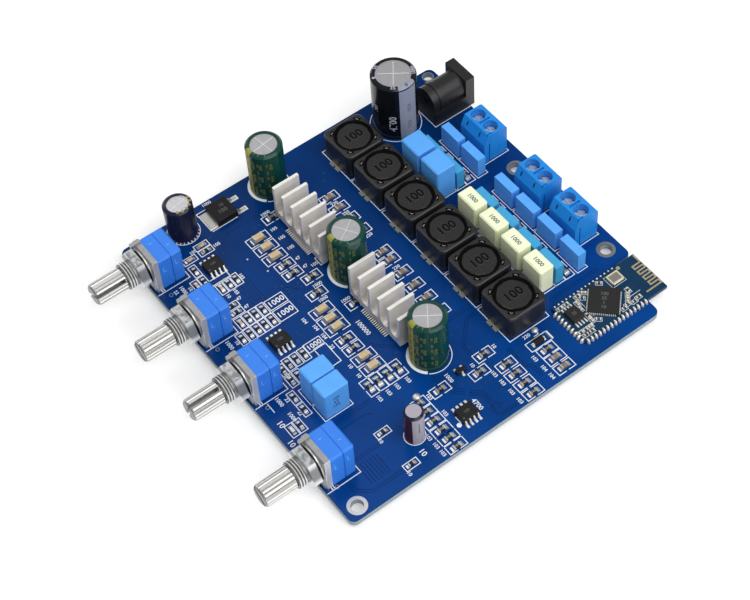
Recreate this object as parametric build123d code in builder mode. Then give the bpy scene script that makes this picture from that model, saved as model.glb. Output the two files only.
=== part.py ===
from build123d import *
import os
from math import cos, radians, sin

# Audio amplifier board, in millimetres.
# X runs along the front edge, which carries the potentiometers. Y runs to the back
# edge, which carries the terminals and the power jack. Z is up. Places are measured
# from the front left corner of the circuit board's top face. The origin lies below
# the middle of the whole assembly, at the foot of the cut leads that it stands on.

# Circuit board
board_width = 102.0
board_depth = 102.5
board_thickness = 1.6
board_corner = 1.8
recess_width = 18.1
recess_depth = 6.5
mounting_hole_radius = 1.6
front_hole_inset = (3.35, 3.85)
back_hole_insets = [(23.3, 4.1), (58.9, 4.6)]
corner_hole_radius = 1.35
corner_hole_inset = (2.3, 2.6)

# Leads and pins through the circuit board
lead_stub = 1.4
capacitor_lead_stub = 1.1
lead_side = 0.6
lead_gap = 0.05

# Potentiometers
pot_places = [12.65, 34.65, 56.3, 86.2]
slot_angles = [37, 144, 74, 144]
pot_width = 9.5
pot_axis_height = 6.9
plate_back = 2.5
plate_thickness = 2.0
plate_height = 11.7
plate_edge = 0.5
bushing_radius = 3.5
bushing_reach = 6.0
lug_side = 1.1
lug_offset = 3.6
lug_length = 0.9
leg_width = 1.4
leg_thickness = 0.8
housing_length = 7.0
housing_lift = 0.3
housing_height = 11.0
housing_edge = 0.5
seam_place = 3.1
seam_width = 0.3
seam_depth = 0.25
neck_setback = 0.2
shaft_radius = 3.0
shaft_reach = 14.5
neck_radius = 2.5
running_gap = 0.05
shaft_clearance = 0.3
shaft_edge = 0.5
knurl_count = 18
knurl_side = 0.42
slot_width = 1.0
slot_length = 8.5
washer_radius = 4.9
washer_thickness = 1.0
nut_width = 10.0
nut_thickness = 2.1
thread_gap = 0.05
pot_pin_side = 0.8
pot_pins_per_gang = 3
pot_pin_pitch = 2.5
pot_pin_rows = [2.0, 5.4]

# Screw terminals
terminal_places = [31.6, 54.0, 68.2]
terminal_inset = 2.5
terminal_depth = 7.6
terminal_height = 10.2
terminal_round = 1.3
slope_foot = 7.0
slope_run = 1.4
pole_pitch = 5.08
pole_inset = 3.6
chamber_width = 3.8
chamber_depth = 4.2
chamber_height = 5.1
well_radius = 2.0
entry_width = 3.0
entry_height = 3.2
entry_lift = 0.9
dovetail_place = 2.0
dovetail_width = 1.6
dovetail_depth = 0.6
dovetail_gap = 0.1
groove_width = 0.6
groove_length = 3.4
groove_depth = 0.6
cage_gap = 0.1
cage_wall = 0.4
cage_floor = 0.8
cage_roof = 1.0
cage_lift = 0.1
cage_pin_width = 1.0
wire_plate_thickness = 0.3
wire_plate_gap = 0.15
wire_plate_lip = 0.6
screw_radius = 1.25
screw_tip_height = 3.4
screw_head_radius = 1.85
screw_head_bottom = 6.7
screw_head_height = 1.1
screw_slot_width = 0.6
screw_slot_depth = 0.5

# Power jack
jack_place = 13.5
jack_overhang = 1.4
jack_width = 9.0
jack_length = 13.3
jack_height = 10.7
jack_flange = 2.9
jack_axis_height = 6.3
jack_barrel_radius = 4.0
jack_step_radius = 4.3
jack_step_place = 2.2
jack_step_length = 1.0
jack_base_height = 4.4
jack_bore_radius = 3.15
jack_bore_depth = 9.6
jack_pin_radius = 1.0
jack_pin_setback = 1.2
jack_leaf_width = 2.4
jack_leaf_thickness = 0.3
jack_tab_width = 2.0
jack_tab_thickness = 0.6
jack_tab_setbacks = [3.2, 6.4]

# Electrolytic capacitors
supply_can_place = (9.9, 82.9)
supply_can_diameter = 12.5
supply_can_height = 19.8
supply_can_pitch = 5.0
green_can_places = [(6.2, 43.2), (42.4, 43.2), (75.8, 43.0)]
green_can_diameter = 10.0
green_can_height = 17.0
green_can_pitch = 5.0
navy_can_place = (5.0, 16.7)
navy_can_diameter = 8.0
navy_can_height = 11.2
navy_can_pitch = 3.5
navy_can_lean = 3.5
grey_can_place = (92.0, 26.0)
grey_can_diameter = 5.0
grey_can_height = 11.0
grey_can_pitch = 2.0
sleeve_thickness = 0.25
sleeve_edge = 0.6
sleeve_lip = 1.3

# Film capacitors: places are the middles of the boxes
film_pitch = 5.0
film_edge = 0.35
filter_box = (7.3, 6.1, 10.9)
filter_places = [(26.95, 77.85), (35.25, 77.85)]
input_box = (5.15, 7.4, 9.7)
input_places = [(67.0, 15.7), (72.55, 15.7)]
cream_box = (7.2, 4.5, 8.5)
cream_row = 78.35
cream_places = [49.0, 57.75, 66.5, 75.3]
slim_box = (7.2, 2.5, 6.3)
cyan_row = 82.45
cyan_places = [26.9, 35.3, 49.8, 58.1, 66.9, 75.4]
slim_row_inset = 13.0
slim_places = [26.9, 35.4, 49.4, 58.1, 66.75, 75.75]

# Inductors
inductor_places = [12.3, 25.5, 38.9, 52.2, 65.6, 79.0]
inductor_row = 67.3
shield_side = 12.3
shield_corner = 2.0
shield_height = 8.0
shield_lift = 0.3
drum_gap = 0.3
drum_radius = 5.0
drum_setback = 0.3
inductor_pad_width = 5.0
inductor_pad_reach = 1.1
inductor_pad_length = 3.0

# Amplifier chips and their heatsinks
amplifier_places = [(26.65, 42.4), (59.6, 42.4)]
amplifier_length = 11.0
amplifier_width = 6.1
chip_lift = 0.1
amplifier_height = 1.1
amplifier_pin_count = 16
amplifier_pin_pitch = 0.65
amplifier_pin_width = 0.3
amplifier_pin_reach = 1.05
heatsink_length = 21.0
heatsink_width = 7.9
heatsink_height = 11.0
heatsink_base = 2.0
fin_count = 6
fin_thickness = 0.9

# Small chips and the regulator
eight_pin_places = [(19.5, 16.4), (49.6, 16.4), (95.1, 39.5)]
eight_pin_body = (3.9, 4.9, 1.45)
eight_pins_per_side = 4
eight_pin_pitch = 1.27
eight_pin_width = 0.42
eight_pin_reach = 1.1
pin_thickness = 0.2
chip_edge = 0.15
transistor_place = (84.6, 46.0)
transistor_body = (1.3, 2.9, 1.0)
transistor_pitch = 1.9
transistor_pin_width = 0.4
transistor_pin_reach = 0.55
diode_place = (89.8, 66.5)
diode_body = (1.6, 2.8, 1.1)
diode_pin_width = 0.6
diode_pin_reach = 0.5
regulator_place = (6.35, 27.95)
regulator_body = (6.6, 6.1, 2.3)
regulator_tab_width = 5.4
regulator_tab_reach = 2.2
regulator_tab_thickness = 0.5
regulator_lead_width = 0.8
regulator_lead_offset = 2.28
regulator_lead_reach = 2.9
regulator_lead_height = 1.2

# Chip parts: width, length and height of each size, longest side along Y
chip_1210 = (2.5, 3.2, 1.7)
chip_0805 = (1.25, 2.0, 0.6)
capacitor_0805 = (1.25, 2.0, 0.9)
chip_0603 = (0.8, 1.6, 0.5)
lamp_size = (0.8, 1.6, 0.6)
lamp_place = (72.4, 3.8)
filter_row = 53.1
filter_chips = [19.9, 24.3, 29.0, 34.0, 43.2, 46.4, 51.6, 56.7, 61.7, 67.2]
front_row = 32.0
front_chips = [85.6, 88.7, 91.7, 94.8, 97.6, 100.7]
middle_row = 56.0
middle_chips = [90.0, 93.5, 97.0, 100.4]
output_row = 85.7
output_chips = [27.2, 36.8, 49.2, 57.8, 66.1, 77.0]
supply_places = [
    (19.4, 30.55), (23.0, 30.55), (26.9, 30.55), (48.2, 30.1),
    (51.7, 30.1), (54.8, 30.0), (66.2, 30.0), (69.8, 30.0),
]
upright_resistors = [
    (30.7, 31.1), (34.1, 31.1), (15.7, 37.5), (35.1, 41.0), (38.0, 34.3), (43.1, 32.3),
    (59.1, 29.5), (62.4, 29.5), (51.6, 38.3), (85.6, 38.7), (84.2, 53.5), (87.7, 49.4),
    (92.9, 66.7),
]
brown_places = [(96.0, 66.7), (99.3, 66.7)]
level_resistors = [(74.2, 34.5), (74.2, 31.4), (74.2, 28.4), (74.2, 25.8)]
upright_small = [(86.5, 20.5), (97.8, 20.5), (14.0, 17.8), (32.8, 13.0), (35.2, 12.9)]
level_small = [
    (72.4, 6.1), (65.1, 9.5), (69.4, 9.5), (17.7, 11.9), (22.0, 11.9),
    (26.5, 18.8), (26.5, 16.5), (38.6, 18.7), (38.6, 16.4), (38.6, 14.2),
    (42.8, 18.7), (42.8, 16.4), (42.8, 14.2), (42.8, 11.9), (42.8, 9.5),
    (56.2, 18.9), (56.2, 16.5), (56.2, 14.2), (57.0, 12.0), (60.6, 14.2), (60.6, 11.9),
]
brown_small = [(11.8, 17.8), (13.9, 12.8)]
tan_small = [(22.0, 9.7), (26.5, 14.2), (38.6, 11.9)]

# Wireless module: its overhang is measured past the recessed back edge
module_width = 13.0
module_length = 27.2
module_thickness = 1.0
module_side_inset = 4.4
module_overhang = 6.3
module_chip_side = 8.0
module_chip_height = 0.9
module_chip_place = (6.7, 11.5)
memory_place = (5.3, 2.9)
memory_body = (4.2, 3.6, 1.2)
crystal_place = (3.1, 18.3)
crystal_body = (3.2, 3.8, 0.8)
crystal_edge = 0.3
module_part_size = (0.6, 1.1, 0.5)
module_part_places = [
    (1.6, 5.4), (2.9, 5.4), (11.2, 5.0), (11.2, 7.2), (1.7, 8.0), (1.7, 14.4),
    (11.4, 14.8), (10.0, 17.6), (8.4, 18.6), (6.8, 18.6), (11.2, 19.8),
]

# Places that follow from the sizes above
left = -board_width / 2
front = -(board_depth + jack_overhang - shaft_reach) / 2
top = lead_stub + board_thickness
bushing_tip = plate_back - plate_thickness - bushing_reach
washer_back = plate_back - plate_thickness
nut_back = washer_back - washer_thickness
housing_back = plate_back + housing_length
head_back = bushing_tip - shaft_clearance
terminal_width = 2 * pole_pitch
terminal_back = board_depth - terminal_inset
pole_row = terminal_back - pole_inset
poles = [x + side * pole_pitch / 2 for x in terminal_places for side in (-1, 1)]
cage_width = chamber_width - 2 * cage_gap
cage_depth = chamber_depth - 2 * cage_gap
cage_top = chamber_height - cage_gap
jack_back = board_depth + jack_overhang
slim_row = board_depth - slim_row_inset
module_left = board_width - module_side_inset - module_width
module_front = board_depth - recess_depth + module_overhang - module_length
lead_hole = lead_side + 2 * lead_gap


def place(x, y, z=0.0):
    """Level plane at a place on the circuit board, z above its top face."""
    return Plane(origin=(left + x, front + y, top + z))


def facing_front(x, y, z=0.0):
    """Upright plane seen from the front edge: across, then up."""
    origin = (left + x, front + y, top + z)
    return Plane(origin=origin, x_dir=(1, 0, 0), z_dir=(0, -1, 0))


def facing_right(x, y, z=0.0):
    """Upright plane seen from the right edge: towards the back, then up."""
    origin = (left + x, front + y, top + z)
    return Plane(origin=origin, x_dir=(0, 1, 0), z_dir=(1, 0, 0))


def save(builder, node):
    """Label a finished piece and write it as a STEP file of its own."""
    builder.part.label = node
    export_step(builder.part, f"parts/{node}.step")


def save_group(pieces, node):
    """Gather separate like pieces into one node and write it."""
    with BuildPart() as group:
        add(pieces)
    save(group, node)


def spread(count, pitch):
    """Offsets of a row of places about its middle."""
    return [(step - (count - 1) / 2) * pitch for step in range(count)]


def pair(middle, pitch, along_x=True):
    """Two lead places either side of a middle."""
    x, y = middle
    half = pitch / 2
    if along_x:
        return [(x - half, y), (x + half, y)]
    return [(x, y - half), (x, y + half)]


def capacitor_lead_places():
    """Places of all the capacitors' leads."""
    places = pair(supply_can_place, supply_can_pitch)
    places += pair(navy_can_place, navy_can_pitch)
    places += pair(grey_can_place, grey_can_pitch)
    for middle in green_can_places:
        places += pair(middle, green_can_pitch)
    for middle in film_places():
        places += pair(middle, film_pitch)
    for middle in input_places:
        places += pair(middle, film_pitch, along_x=False)
    return places


def film_places():
    """Middles of the box film capacitors whose leads stand side by side."""
    cream = [(x, cream_row) for x in cream_places]
    cyan = [(x, cyan_row) for x in cyan_places]
    slim = [(x, slim_row) for x in slim_places]
    return filter_places + cream + cyan + slim


def pot_pin_places():
    """Places of the six pins of every potentiometer."""
    places = []
    for x in pot_places:
        for row in pot_pin_rows:
            gangs = spread(pot_pins_per_gang, pot_pin_pitch)
            places += [(x + offset, plate_back + row) for offset in gangs]
    return places


def leg_places():
    """Places of the two legs of every potentiometer's front plate."""
    reach = (pot_width - leg_width) / 2
    middle = plate_back - plate_thickness / 2
    return [(x + side * reach, middle) for x in pot_places for side in (-1, 1)]


def jack_tab_places():
    """Places of the power jack's tabs, from its back end forwards."""
    rear = jack_back - jack_length + jack_tab_thickness
    return [(jack_place, rear)] + [(jack_place, rear + setback) for setback in jack_tab_setbacks]


def build_board():
    """Circuit board with its mounting holes, lead holes and corner recess."""
    recess_left = board_width - recess_width
    recess_front = board_depth - recess_depth
    with BuildPart() as board:
        with BuildSketch(place(0, 0)) as outline:
            with BuildLine():
                Polyline(
                    (0, 0),
                    (board_width, 0),
                    (board_width, recess_front),
                    (recess_left, recess_front),
                    (recess_left, board_depth),
                    (0, board_depth),
                    close=True,
                )
            make_face()
            fillet(outline.vertices(), radius=board_corner)
            with Locations((board_width - front_hole_inset[0], front_hole_inset[1])):
                Circle(mounting_hole_radius, mode=Mode.SUBTRACT)
            for inset in back_hole_insets:
                with Locations((board_width - inset[0], board_depth - inset[1])):
                    Circle(mounting_hole_radius, mode=Mode.SUBTRACT)
            with Locations((corner_hole_inset[0], board_depth - corner_hole_inset[1])):
                Circle(corner_hole_radius, mode=Mode.SUBTRACT)
            with Locations(*pot_pin_places()):
                side = pot_pin_side + 2 * lead_gap
                Rectangle(side, side, mode=Mode.SUBTRACT)
            with Locations(*leg_places()):
                Rectangle(
                    leg_width + 2 * lead_gap, leg_thickness + 2 * lead_gap, mode=Mode.SUBTRACT
                )
            with Locations(*[(x, pole_row) for x in poles]):
                Rectangle(
                    cage_pin_width + 2 * lead_gap, lead_hole, mode=Mode.SUBTRACT
                )
            with Locations(*jack_tab_places()):
                Rectangle(
                    jack_tab_width + 2 * lead_gap,
                    jack_tab_thickness + 2 * lead_gap,
                    mode=Mode.SUBTRACT,
                )
        extrude(amount=-board_thickness)
    save(board, "circuit_board")


def build_pot_shaft(number):
    """Knurled split shaft with a plain neck that turns in the bushing."""
    x = pot_places[number]
    neck_back = plate_back - neck_setback
    with BuildPart() as shaft:
        with BuildSketch(facing_front(x, neck_back, pot_axis_height)):
            Circle(neck_radius)
        extrude(amount=neck_back - head_back)
        with BuildSketch(facing_front(x, head_back, pot_axis_height)):
            Circle(shaft_radius)
        extrude(amount=shaft_reach + head_back)
        tip = shaft.edges().filter_by(GeomType.CIRCLE).sort_by(Axis.Y)[0]
        chamfer(tip, shaft_edge)
        with BuildSketch(facing_front(x, head_back, pot_axis_height)):
            with PolarLocations(shaft_radius, knurl_count):
                Rectangle(knurl_side, knurl_side, rotation=45)
        extrude(amount=shaft_reach + head_back, mode=Mode.SUBTRACT)
        with BuildSketch(facing_front(x, slot_length - shaft_reach, pot_axis_height)):
            Rectangle(2 * shaft_radius, slot_width, rotation=slot_angles[number])
        extrude(amount=slot_length, mode=Mode.SUBTRACT)
    save(shaft, f"pot_{number + 1}_shaft")


def build_pot_front_plates():
    """Die-cast plates with threaded bushing, locating lug and board legs."""
    plate_front = plate_back - plate_thickness
    with BuildPart() as plates:
        with BuildSketch(*[facing_front(x, plate_back, plate_height / 2) for x in pot_places]):
            Rectangle(pot_width, plate_height)
        extrude(amount=plate_thickness)
        faces = plates.faces().filter_by(Axis.Y).group_by(Axis.Y)[0]
        chamfer(faces.edges(), plate_edge)
        with BuildSketch(*[facing_front(x, plate_front, pot_axis_height) for x in pot_places]):
            Circle(bushing_radius)
        extrude(amount=bushing_reach)
        with BuildSketch(*[facing_front(x - lug_offset, plate_back, plate_height) for x in pot_places]):
            Rectangle(lug_side, lug_side)
        extrude(amount=plate_thickness + lug_length)
        with BuildSketch(*[place(x, y, plate_edge) for x, y in leg_places()]):
            Rectangle(leg_width, leg_thickness)
        extrude(amount=-(plate_edge + board_thickness + lead_stub))
        with BuildSketch(*[facing_front(x, plate_back, pot_axis_height) for x in pot_places]):
            Circle(neck_radius + running_gap)
        extrude(amount=plate_thickness + bushing_reach, mode=Mode.SUBTRACT)
    save(plates, "pot_front_plates")


def build_pot_housing(number):
    """Moulded two-gang housing with the seam between the gangs."""
    x = pot_places[number]
    middle = housing_lift + housing_height / 2
    with BuildPart() as housing:
        with BuildSketch(facing_front(x, housing_back, middle)):
            Rectangle(pot_width, housing_height)
        extrude(amount=housing_length)
        long_edges = housing.edges().filter_by(Axis.Y).group_by(Axis.Z)[-1]
        rear = housing.faces().filter_by(Axis.Y).sort_by(Axis.Y)[-1]
        chamfer(long_edges + rear.edges(), housing_edge)
        with BuildSketch(facing_front(x, housing_back - seam_place, middle)):
            Rectangle(pot_width, housing_height)
            Rectangle(
                pot_width - 2 * seam_depth, housing_height - 2 * seam_depth, mode=Mode.SUBTRACT
            )
        extrude(amount=seam_width, mode=Mode.SUBTRACT)
    save(housing, f"pot_{number + 1}_housing")


def build_pot_fasteners():
    """Washers and hexagon nuts on the bushings."""
    with BuildPart() as washers:
        with BuildSketch(*[facing_front(x, washer_back, pot_axis_height) for x in pot_places]):
            Circle(washer_radius)
            Circle(bushing_radius + thread_gap, mode=Mode.SUBTRACT)
        extrude(amount=washer_thickness)
    save(washers, "pot_washers")
    with BuildPart() as nuts:
        with BuildSketch(*[facing_front(x, nut_back, pot_axis_height) for x in pot_places]):
            RegularPolygon(nut_width / 2, side_count=6, major_radius=False)
            Circle(bushing_radius + thread_gap, mode=Mode.SUBTRACT)
        extrude(amount=nut_thickness)
    save(nuts, "pot_nuts")


def build_pot_pins():
    """Six stamped pins under every potentiometer."""
    with BuildPart() as pins:
        with BuildSketch(*[place(x, y, housing_lift) for x, y in pot_pin_places()]):
            Rectangle(pot_pin_side, pot_pin_side)
        extrude(amount=-(housing_lift + board_thickness + lead_stub))
    save(pins, "pot_pins")


def build_terminal_housing(number):
    """Two-pole housing: sloped front, screw wells, wire entries and dovetails."""
    x = terminal_places[number]
    start = x - terminal_width / 2
    terminal_front = terminal_back - terminal_depth
    own_poles = poles[2 * number:2 * number + 2]
    dovetail_row = terminal_front + dovetail_place
    half = dovetail_width / 2
    with BuildPart() as housing:
        with BuildSketch(facing_right(start, terminal_front)) as profile:
            with BuildLine():
                Polyline(
                    (0, 0),
                    (0, slope_foot),
                    (slope_run, terminal_height),
                    (terminal_depth, terminal_height),
                    (terminal_depth, 0),
                    close=True,
                )
            make_face()
            back_edge = profile.vertices().group_by(Axis.Y)[-1].sort_by(Axis.X)[-1]
            fillet(back_edge, radius=terminal_round)
        extrude(amount=terminal_width)
        with BuildSketch(place(start, dovetail_row)):
            with BuildLine():
                Polyline(
                    (0, -half / 2),
                    (-dovetail_depth, -half),
                    (-dovetail_depth, half),
                    (0, half / 2),
                    close=True,
                )
            make_face()
        extrude(amount=slope_foot)
        with BuildSketch(place(start + terminal_width, dovetail_row)):
            with BuildLine():
                Polyline(
                    (0, -half / 2 - dovetail_gap),
                    (-dovetail_depth - dovetail_gap, -half - dovetail_gap),
                    (-dovetail_depth - dovetail_gap, half + dovetail_gap),
                    (0, half / 2 + dovetail_gap),
                    close=True,
                )
            make_face()
        extrude(amount=terminal_height, mode=Mode.SUBTRACT)
        with BuildSketch(*[place(pole, pole_row) for pole in own_poles]):
            Rectangle(chamber_width, chamber_depth)
        extrude(amount=chamber_height, mode=Mode.SUBTRACT)
        with BuildSketch(*[place(pole, pole_row, terminal_height) for pole in own_poles]):
            Circle(well_radius)
        extrude(amount=-(terminal_height - chamber_height), mode=Mode.SUBTRACT)
        entry_middle = entry_lift + entry_height / 2
        with BuildSketch(*[facing_front(pole, terminal_back, entry_middle) for pole in own_poles]):
            Rectangle(entry_width, entry_height)
        extrude(amount=pole_inset - chamber_depth / 2, mode=Mode.SUBTRACT)
        with BuildSketch(place(x, pole_row, terminal_height)):
            Rectangle(groove_width, groove_length)
        extrude(amount=-groove_depth, mode=Mode.SUBTRACT)
    save(housing, f"terminal_{number + 1}_housing")


def build_terminal_cages():
    """Fixed metal cages that the screws run in, each with its solder pin."""
    cage_height = cage_top - cage_lift
    window_height = cage_height - cage_floor - cage_roof
    window_middle = cage_lift + cage_floor + window_height / 2
    back = pole_row + cage_depth / 2
    with BuildPart() as cages:
        with BuildSketch(*[facing_front(x, back, cage_lift + cage_height / 2) for x in poles]):
            Rectangle(cage_width, cage_height)
        extrude(amount=cage_depth)
        with BuildSketch(*[facing_front(x, back, window_middle) for x in poles]):
            Rectangle(cage_width - 2 * cage_wall, window_height)
        extrude(amount=cage_depth, mode=Mode.SUBTRACT)
        with BuildSketch(*[place(x, pole_row, cage_top) for x in poles]):
            Circle(screw_radius + running_gap)
        extrude(amount=-cage_roof, mode=Mode.SUBTRACT)
        with BuildSketch(*[place(x, pole_row, cage_lift) for x in poles]):
            Rectangle(cage_pin_width, lead_side)
        extrude(amount=-(cage_lift + board_thickness + lead_stub))
    save(cages, "terminal_cages")


def build_wire_plate(number):
    """Plate that the screw presses down on the wire, with a lip towards the entry."""
    x = poles[number]
    width = cage_width - 2 * (cage_wall + wire_plate_gap)
    underside = screw_tip_height - running_gap - wire_plate_thickness
    back = pole_row + cage_depth / 2
    with BuildPart() as wire_plate:
        with BuildSketch(place(x, pole_row, underside)):
            Rectangle(width, cage_depth)
        extrude(amount=wire_plate_thickness)
        with BuildSketch(place(x, back - wire_plate_thickness / 2, underside)):
            Rectangle(width, wire_plate_thickness)
        extrude(amount=-wire_plate_lip)
    save(wire_plate, f"wire_plate_{number + 1}")


def build_terminal_screw(number):
    """Clamping screw with a cross slot in its head."""
    x = poles[number]
    head_top = screw_head_bottom + screw_head_height
    with BuildPart() as screw:
        with BuildSketch(place(x, pole_row, screw_tip_height)):
            Circle(screw_radius)
        extrude(amount=screw_head_bottom - screw_tip_height)
        with BuildSketch(place(x, pole_row, screw_head_bottom)):
            Circle(screw_head_radius)
        extrude(amount=screw_head_height)
        with BuildSketch(place(x, pole_row, head_top)):
            Rectangle(2 * screw_head_radius, screw_slot_width)
            Rectangle(screw_slot_width, 2 * screw_head_radius)
        extrude(amount=-screw_slot_depth, mode=Mode.SUBTRACT)
    save(screw, f"terminal_screw_{number + 1}")


def build_jack_housing():
    """Moulded power jack: square flange, stepped barrel, base block and socket."""
    jack_front = jack_back - jack_length
    body_length = jack_length - jack_flange
    leaf_level = jack_axis_height - jack_bore_radius
    with BuildPart() as housing:
        with BuildSketch(facing_front(jack_place, jack_back, jack_height / 2)):
            Rectangle(jack_width, jack_height)
        extrude(amount=jack_flange)
        with BuildSketch(facing_front(jack_place, jack_back - jack_flange, jack_axis_height)):
            Circle(jack_barrel_radius)
        extrude(amount=body_length)
        step_back = jack_front + jack_step_place + jack_step_length
        with BuildSketch(facing_front(jack_place, step_back, jack_axis_height)):
            Circle(jack_step_radius)
        extrude(amount=jack_step_length)
        with BuildSketch(
            facing_front(jack_place, jack_back - jack_flange, jack_base_height / 2)
        ):
            Rectangle(jack_width, jack_base_height)
        extrude(amount=body_length)
        with BuildSketch(facing_front(jack_place, jack_back, jack_axis_height)):
            Circle(jack_bore_radius)
        extrude(amount=jack_bore_depth, mode=Mode.SUBTRACT)
        leaf_width = jack_leaf_width + 2 * lead_gap
        with BuildSketch(facing_front(jack_place, jack_back, leaf_level)):
            Rectangle(leaf_width, 2 * jack_leaf_thickness)
        extrude(amount=jack_bore_depth, mode=Mode.SUBTRACT)
        with BuildSketch(facing_front(jack_place, jack_back, jack_axis_height)):
            Circle(jack_pin_radius + lead_gap)
        extrude(amount=jack_length, mode=Mode.SUBTRACT)
    save(housing, "power_jack_housing")


def build_jack_pin():
    """Centre pin of the power jack, through the closed end of its socket."""
    jack_front = jack_back - jack_length
    pin_end = jack_back - jack_pin_setback
    with BuildPart() as pin:
        with BuildSketch(facing_front(jack_place, pin_end, jack_axis_height)):
            Circle(jack_pin_radius)
        extrude(amount=pin_end - jack_front)
        chamfer(pin.edges().filter_by(GeomType.CIRCLE).sort_by(Axis.Y)[-1], jack_pin_radius / 2)
    save(pin, "power_jack_pin")


def build_jack_contacts():
    """Sleeve contact leaf in the socket and the tabs soldered to the board."""
    leaf_back = jack_back - jack_pin_setback
    leaf_level = jack_axis_height - jack_bore_radius
    leaf_length = jack_bore_depth - jack_pin_setback
    with BuildPart() as contacts:
        with BuildSketch(facing_front(jack_place, leaf_back, leaf_level)):
            Rectangle(jack_leaf_width, jack_leaf_thickness)
        extrude(amount=leaf_length)
        with BuildSketch(*[place(x, y) for x, y in jack_tab_places()]):
            Rectangle(jack_tab_width, jack_tab_thickness)
        extrude(amount=-(board_thickness + lead_stub))
    save(contacts, "power_jack_contacts")


def capacitor_plane(middle, diameter, lean=0.0):
    """Upright plane through a capacitor's axis, leaning to the left by an angle."""
    x, y = middle
    lift = diameter / 2 * sin(radians(lean))
    across = (cos(radians(lean)), 0, sin(radians(lean)))
    origin = (left + x, front + y, top + lift)
    return Plane(origin=origin, x_dir=across, z_dir=(0, -1, 0))


def electrolytic(middle, diameter, height, lean=0.0):
    """Sealed can in its sleeve, which is drawn in over the crown's edge."""
    plane = capacitor_plane(middle, diameter, lean)
    radius = diameter / 2
    crown_level = height - sleeve_thickness
    with BuildPart() as body:
        with BuildSketch(plane):
            with BuildLine():
                Polyline(
                    (0, 0),
                    (radius, 0),
                    (radius, height - sleeve_edge),
                    (radius - sleeve_edge, height),
                    (radius - sleeve_lip, height),
                    (radius - sleeve_lip, crown_level),
                    (0, crown_level),
                    close=True,
                )
            make_face()
        revolve(axis=Axis(plane.origin, plane.y_dir))
    return body.part


def build_electrolytics():
    """Upright electrolytic capacitors."""
    supply = electrolytic(supply_can_place, supply_can_diameter, supply_can_height)
    save_group([supply], "supply_capacitor")
    green = [
        electrolytic(middle, green_can_diameter, green_can_height) for middle in green_can_places
    ]
    save_group(green, "green_capacitors")
    small = [
        electrolytic(navy_can_place, navy_can_diameter, navy_can_height, navy_can_lean),
        electrolytic(grey_can_place, grey_can_diameter, grey_can_height),
    ]
    save_group(small, "small_capacitors")


def build_capacitor_leads():
    """Cut ends of all the capacitors' wire leads, below the board."""
    with BuildPart() as leads:
        with BuildSketch(place(0, 0, -board_thickness)):
            with Locations(*capacitor_lead_places()):
                Rectangle(lead_side, lead_side)
        extrude(amount=-capacitor_lead_stub)
    save(leads, "capacitor_leads")


def bevelled_boxes(places, box, edge, lift=0.0):
    """Bevelled boxes of one size, standing at places on the board."""
    width, depth, height = box
    with BuildPart() as boxes:
        with BuildSketch(*[place(x, y, lift) for x, y in places]):
            Rectangle(width, depth)
        extrude(amount=height)
        crowns = boxes.faces().group_by(Axis.Z)[-1]
        chamfer(boxes.edges().filter_by(Axis.Z) + crowns.edges(), edge)
    return boxes.part


def build_film_capacitors():
    """Box film capacitors of four sizes."""
    filters = bevelled_boxes(filter_places, filter_box, film_edge)
    inputs = bevelled_boxes(input_places, input_box, film_edge)
    save_group([filters, inputs], "large_film_capacitors")
    cream = bevelled_boxes([(x, cream_row) for x in cream_places], cream_box, film_edge)
    save_group([cream], "cream_film_capacitors")
    cyan = plain_blocks([(x, cyan_row) for x in cyan_places], slim_box)
    slim = plain_blocks([(x, slim_row) for x in slim_places], slim_box)
    save_group([cyan, slim], "slim_film_capacitors")


def build_inductors():
    """Shields, drum cores and solder terminals of the power inductors."""
    places = [(x, inductor_row) for x in inductor_places]
    bore = drum_radius + drum_gap
    drum_top = shield_height - drum_setback
    with BuildPart() as shields:
        with BuildSketch(*[place(x, y, shield_lift) for x, y in places]):
            corners = Rectangle(shield_side, shield_side).vertices()
            chamfer(corners, shield_corner)
            Circle(bore, mode=Mode.SUBTRACT)
        extrude(amount=shield_height - shield_lift)
    save(shields, "inductor_shields")
    with BuildPart() as cores:
        with BuildSketch(*[place(x, y, shield_lift) for x, y in places]):
            Circle(drum_radius)
        extrude(amount=drum_top - shield_lift)
    save(cores, "inductor_cores")
    with BuildPart() as pads:
        reach = shield_side / 2 + inductor_pad_reach - inductor_pad_length / 2
        ends = [(x, y + side * reach) for x, y in places for side in (-1, 1)]
        with BuildSketch(*[place(x, y) for x, y in ends]):
            Rectangle(inductor_pad_width, inductor_pad_length)
        extrude(amount=shield_lift)
    save(pads, "inductor_terminals")


def build_heatsink(number):
    """Finned heatsink: a base with rounded channels between the fins."""
    x, y = amplifier_places[number]
    base_level = chip_lift + amplifier_height
    fin_pitch = (heatsink_length - fin_thickness) / (fin_count - 1)
    channel_radius = (fin_pitch - fin_thickness) / 2
    channel_depth = heatsink_height - heatsink_base
    with BuildPart() as heatsink:
        with BuildSketch(facing_front(x, y + heatsink_width / 2, base_level)):
            with Locations((0, heatsink_height / 2)):
                Rectangle(heatsink_length, heatsink_height)
            floor = heatsink_base + channel_radius
            with Locations((0, (floor + heatsink_height) / 2)):
                with GridLocations(fin_pitch, 0, fin_count - 1, 1):
                    Rectangle(
                        2 * channel_radius, channel_depth - channel_radius, mode=Mode.SUBTRACT
                    )
            with Locations((0, floor)):
                with GridLocations(fin_pitch, 0, fin_count - 1, 1):
                    Circle(channel_radius, mode=Mode.SUBTRACT)
        extrude(amount=heatsink_width)
    save(heatsink, f"heatsink_{number + 1}")


def bent_pin(reach, shoulder):
    """Profile of a pin that slopes from the body's side down to a flat foot."""
    bend = reach / 2
    with BuildSketch() as profile:
        with BuildLine():
            Polyline(
                (0, shoulder),
                (bend, 0),
                (reach, 0),
                (reach, pin_thickness),
                (bend + pin_thickness / 2, pin_thickness),
                (0, shoulder + 2 * pin_thickness),
                close=True,
            )
        make_face()
    return profile.sketch


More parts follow.
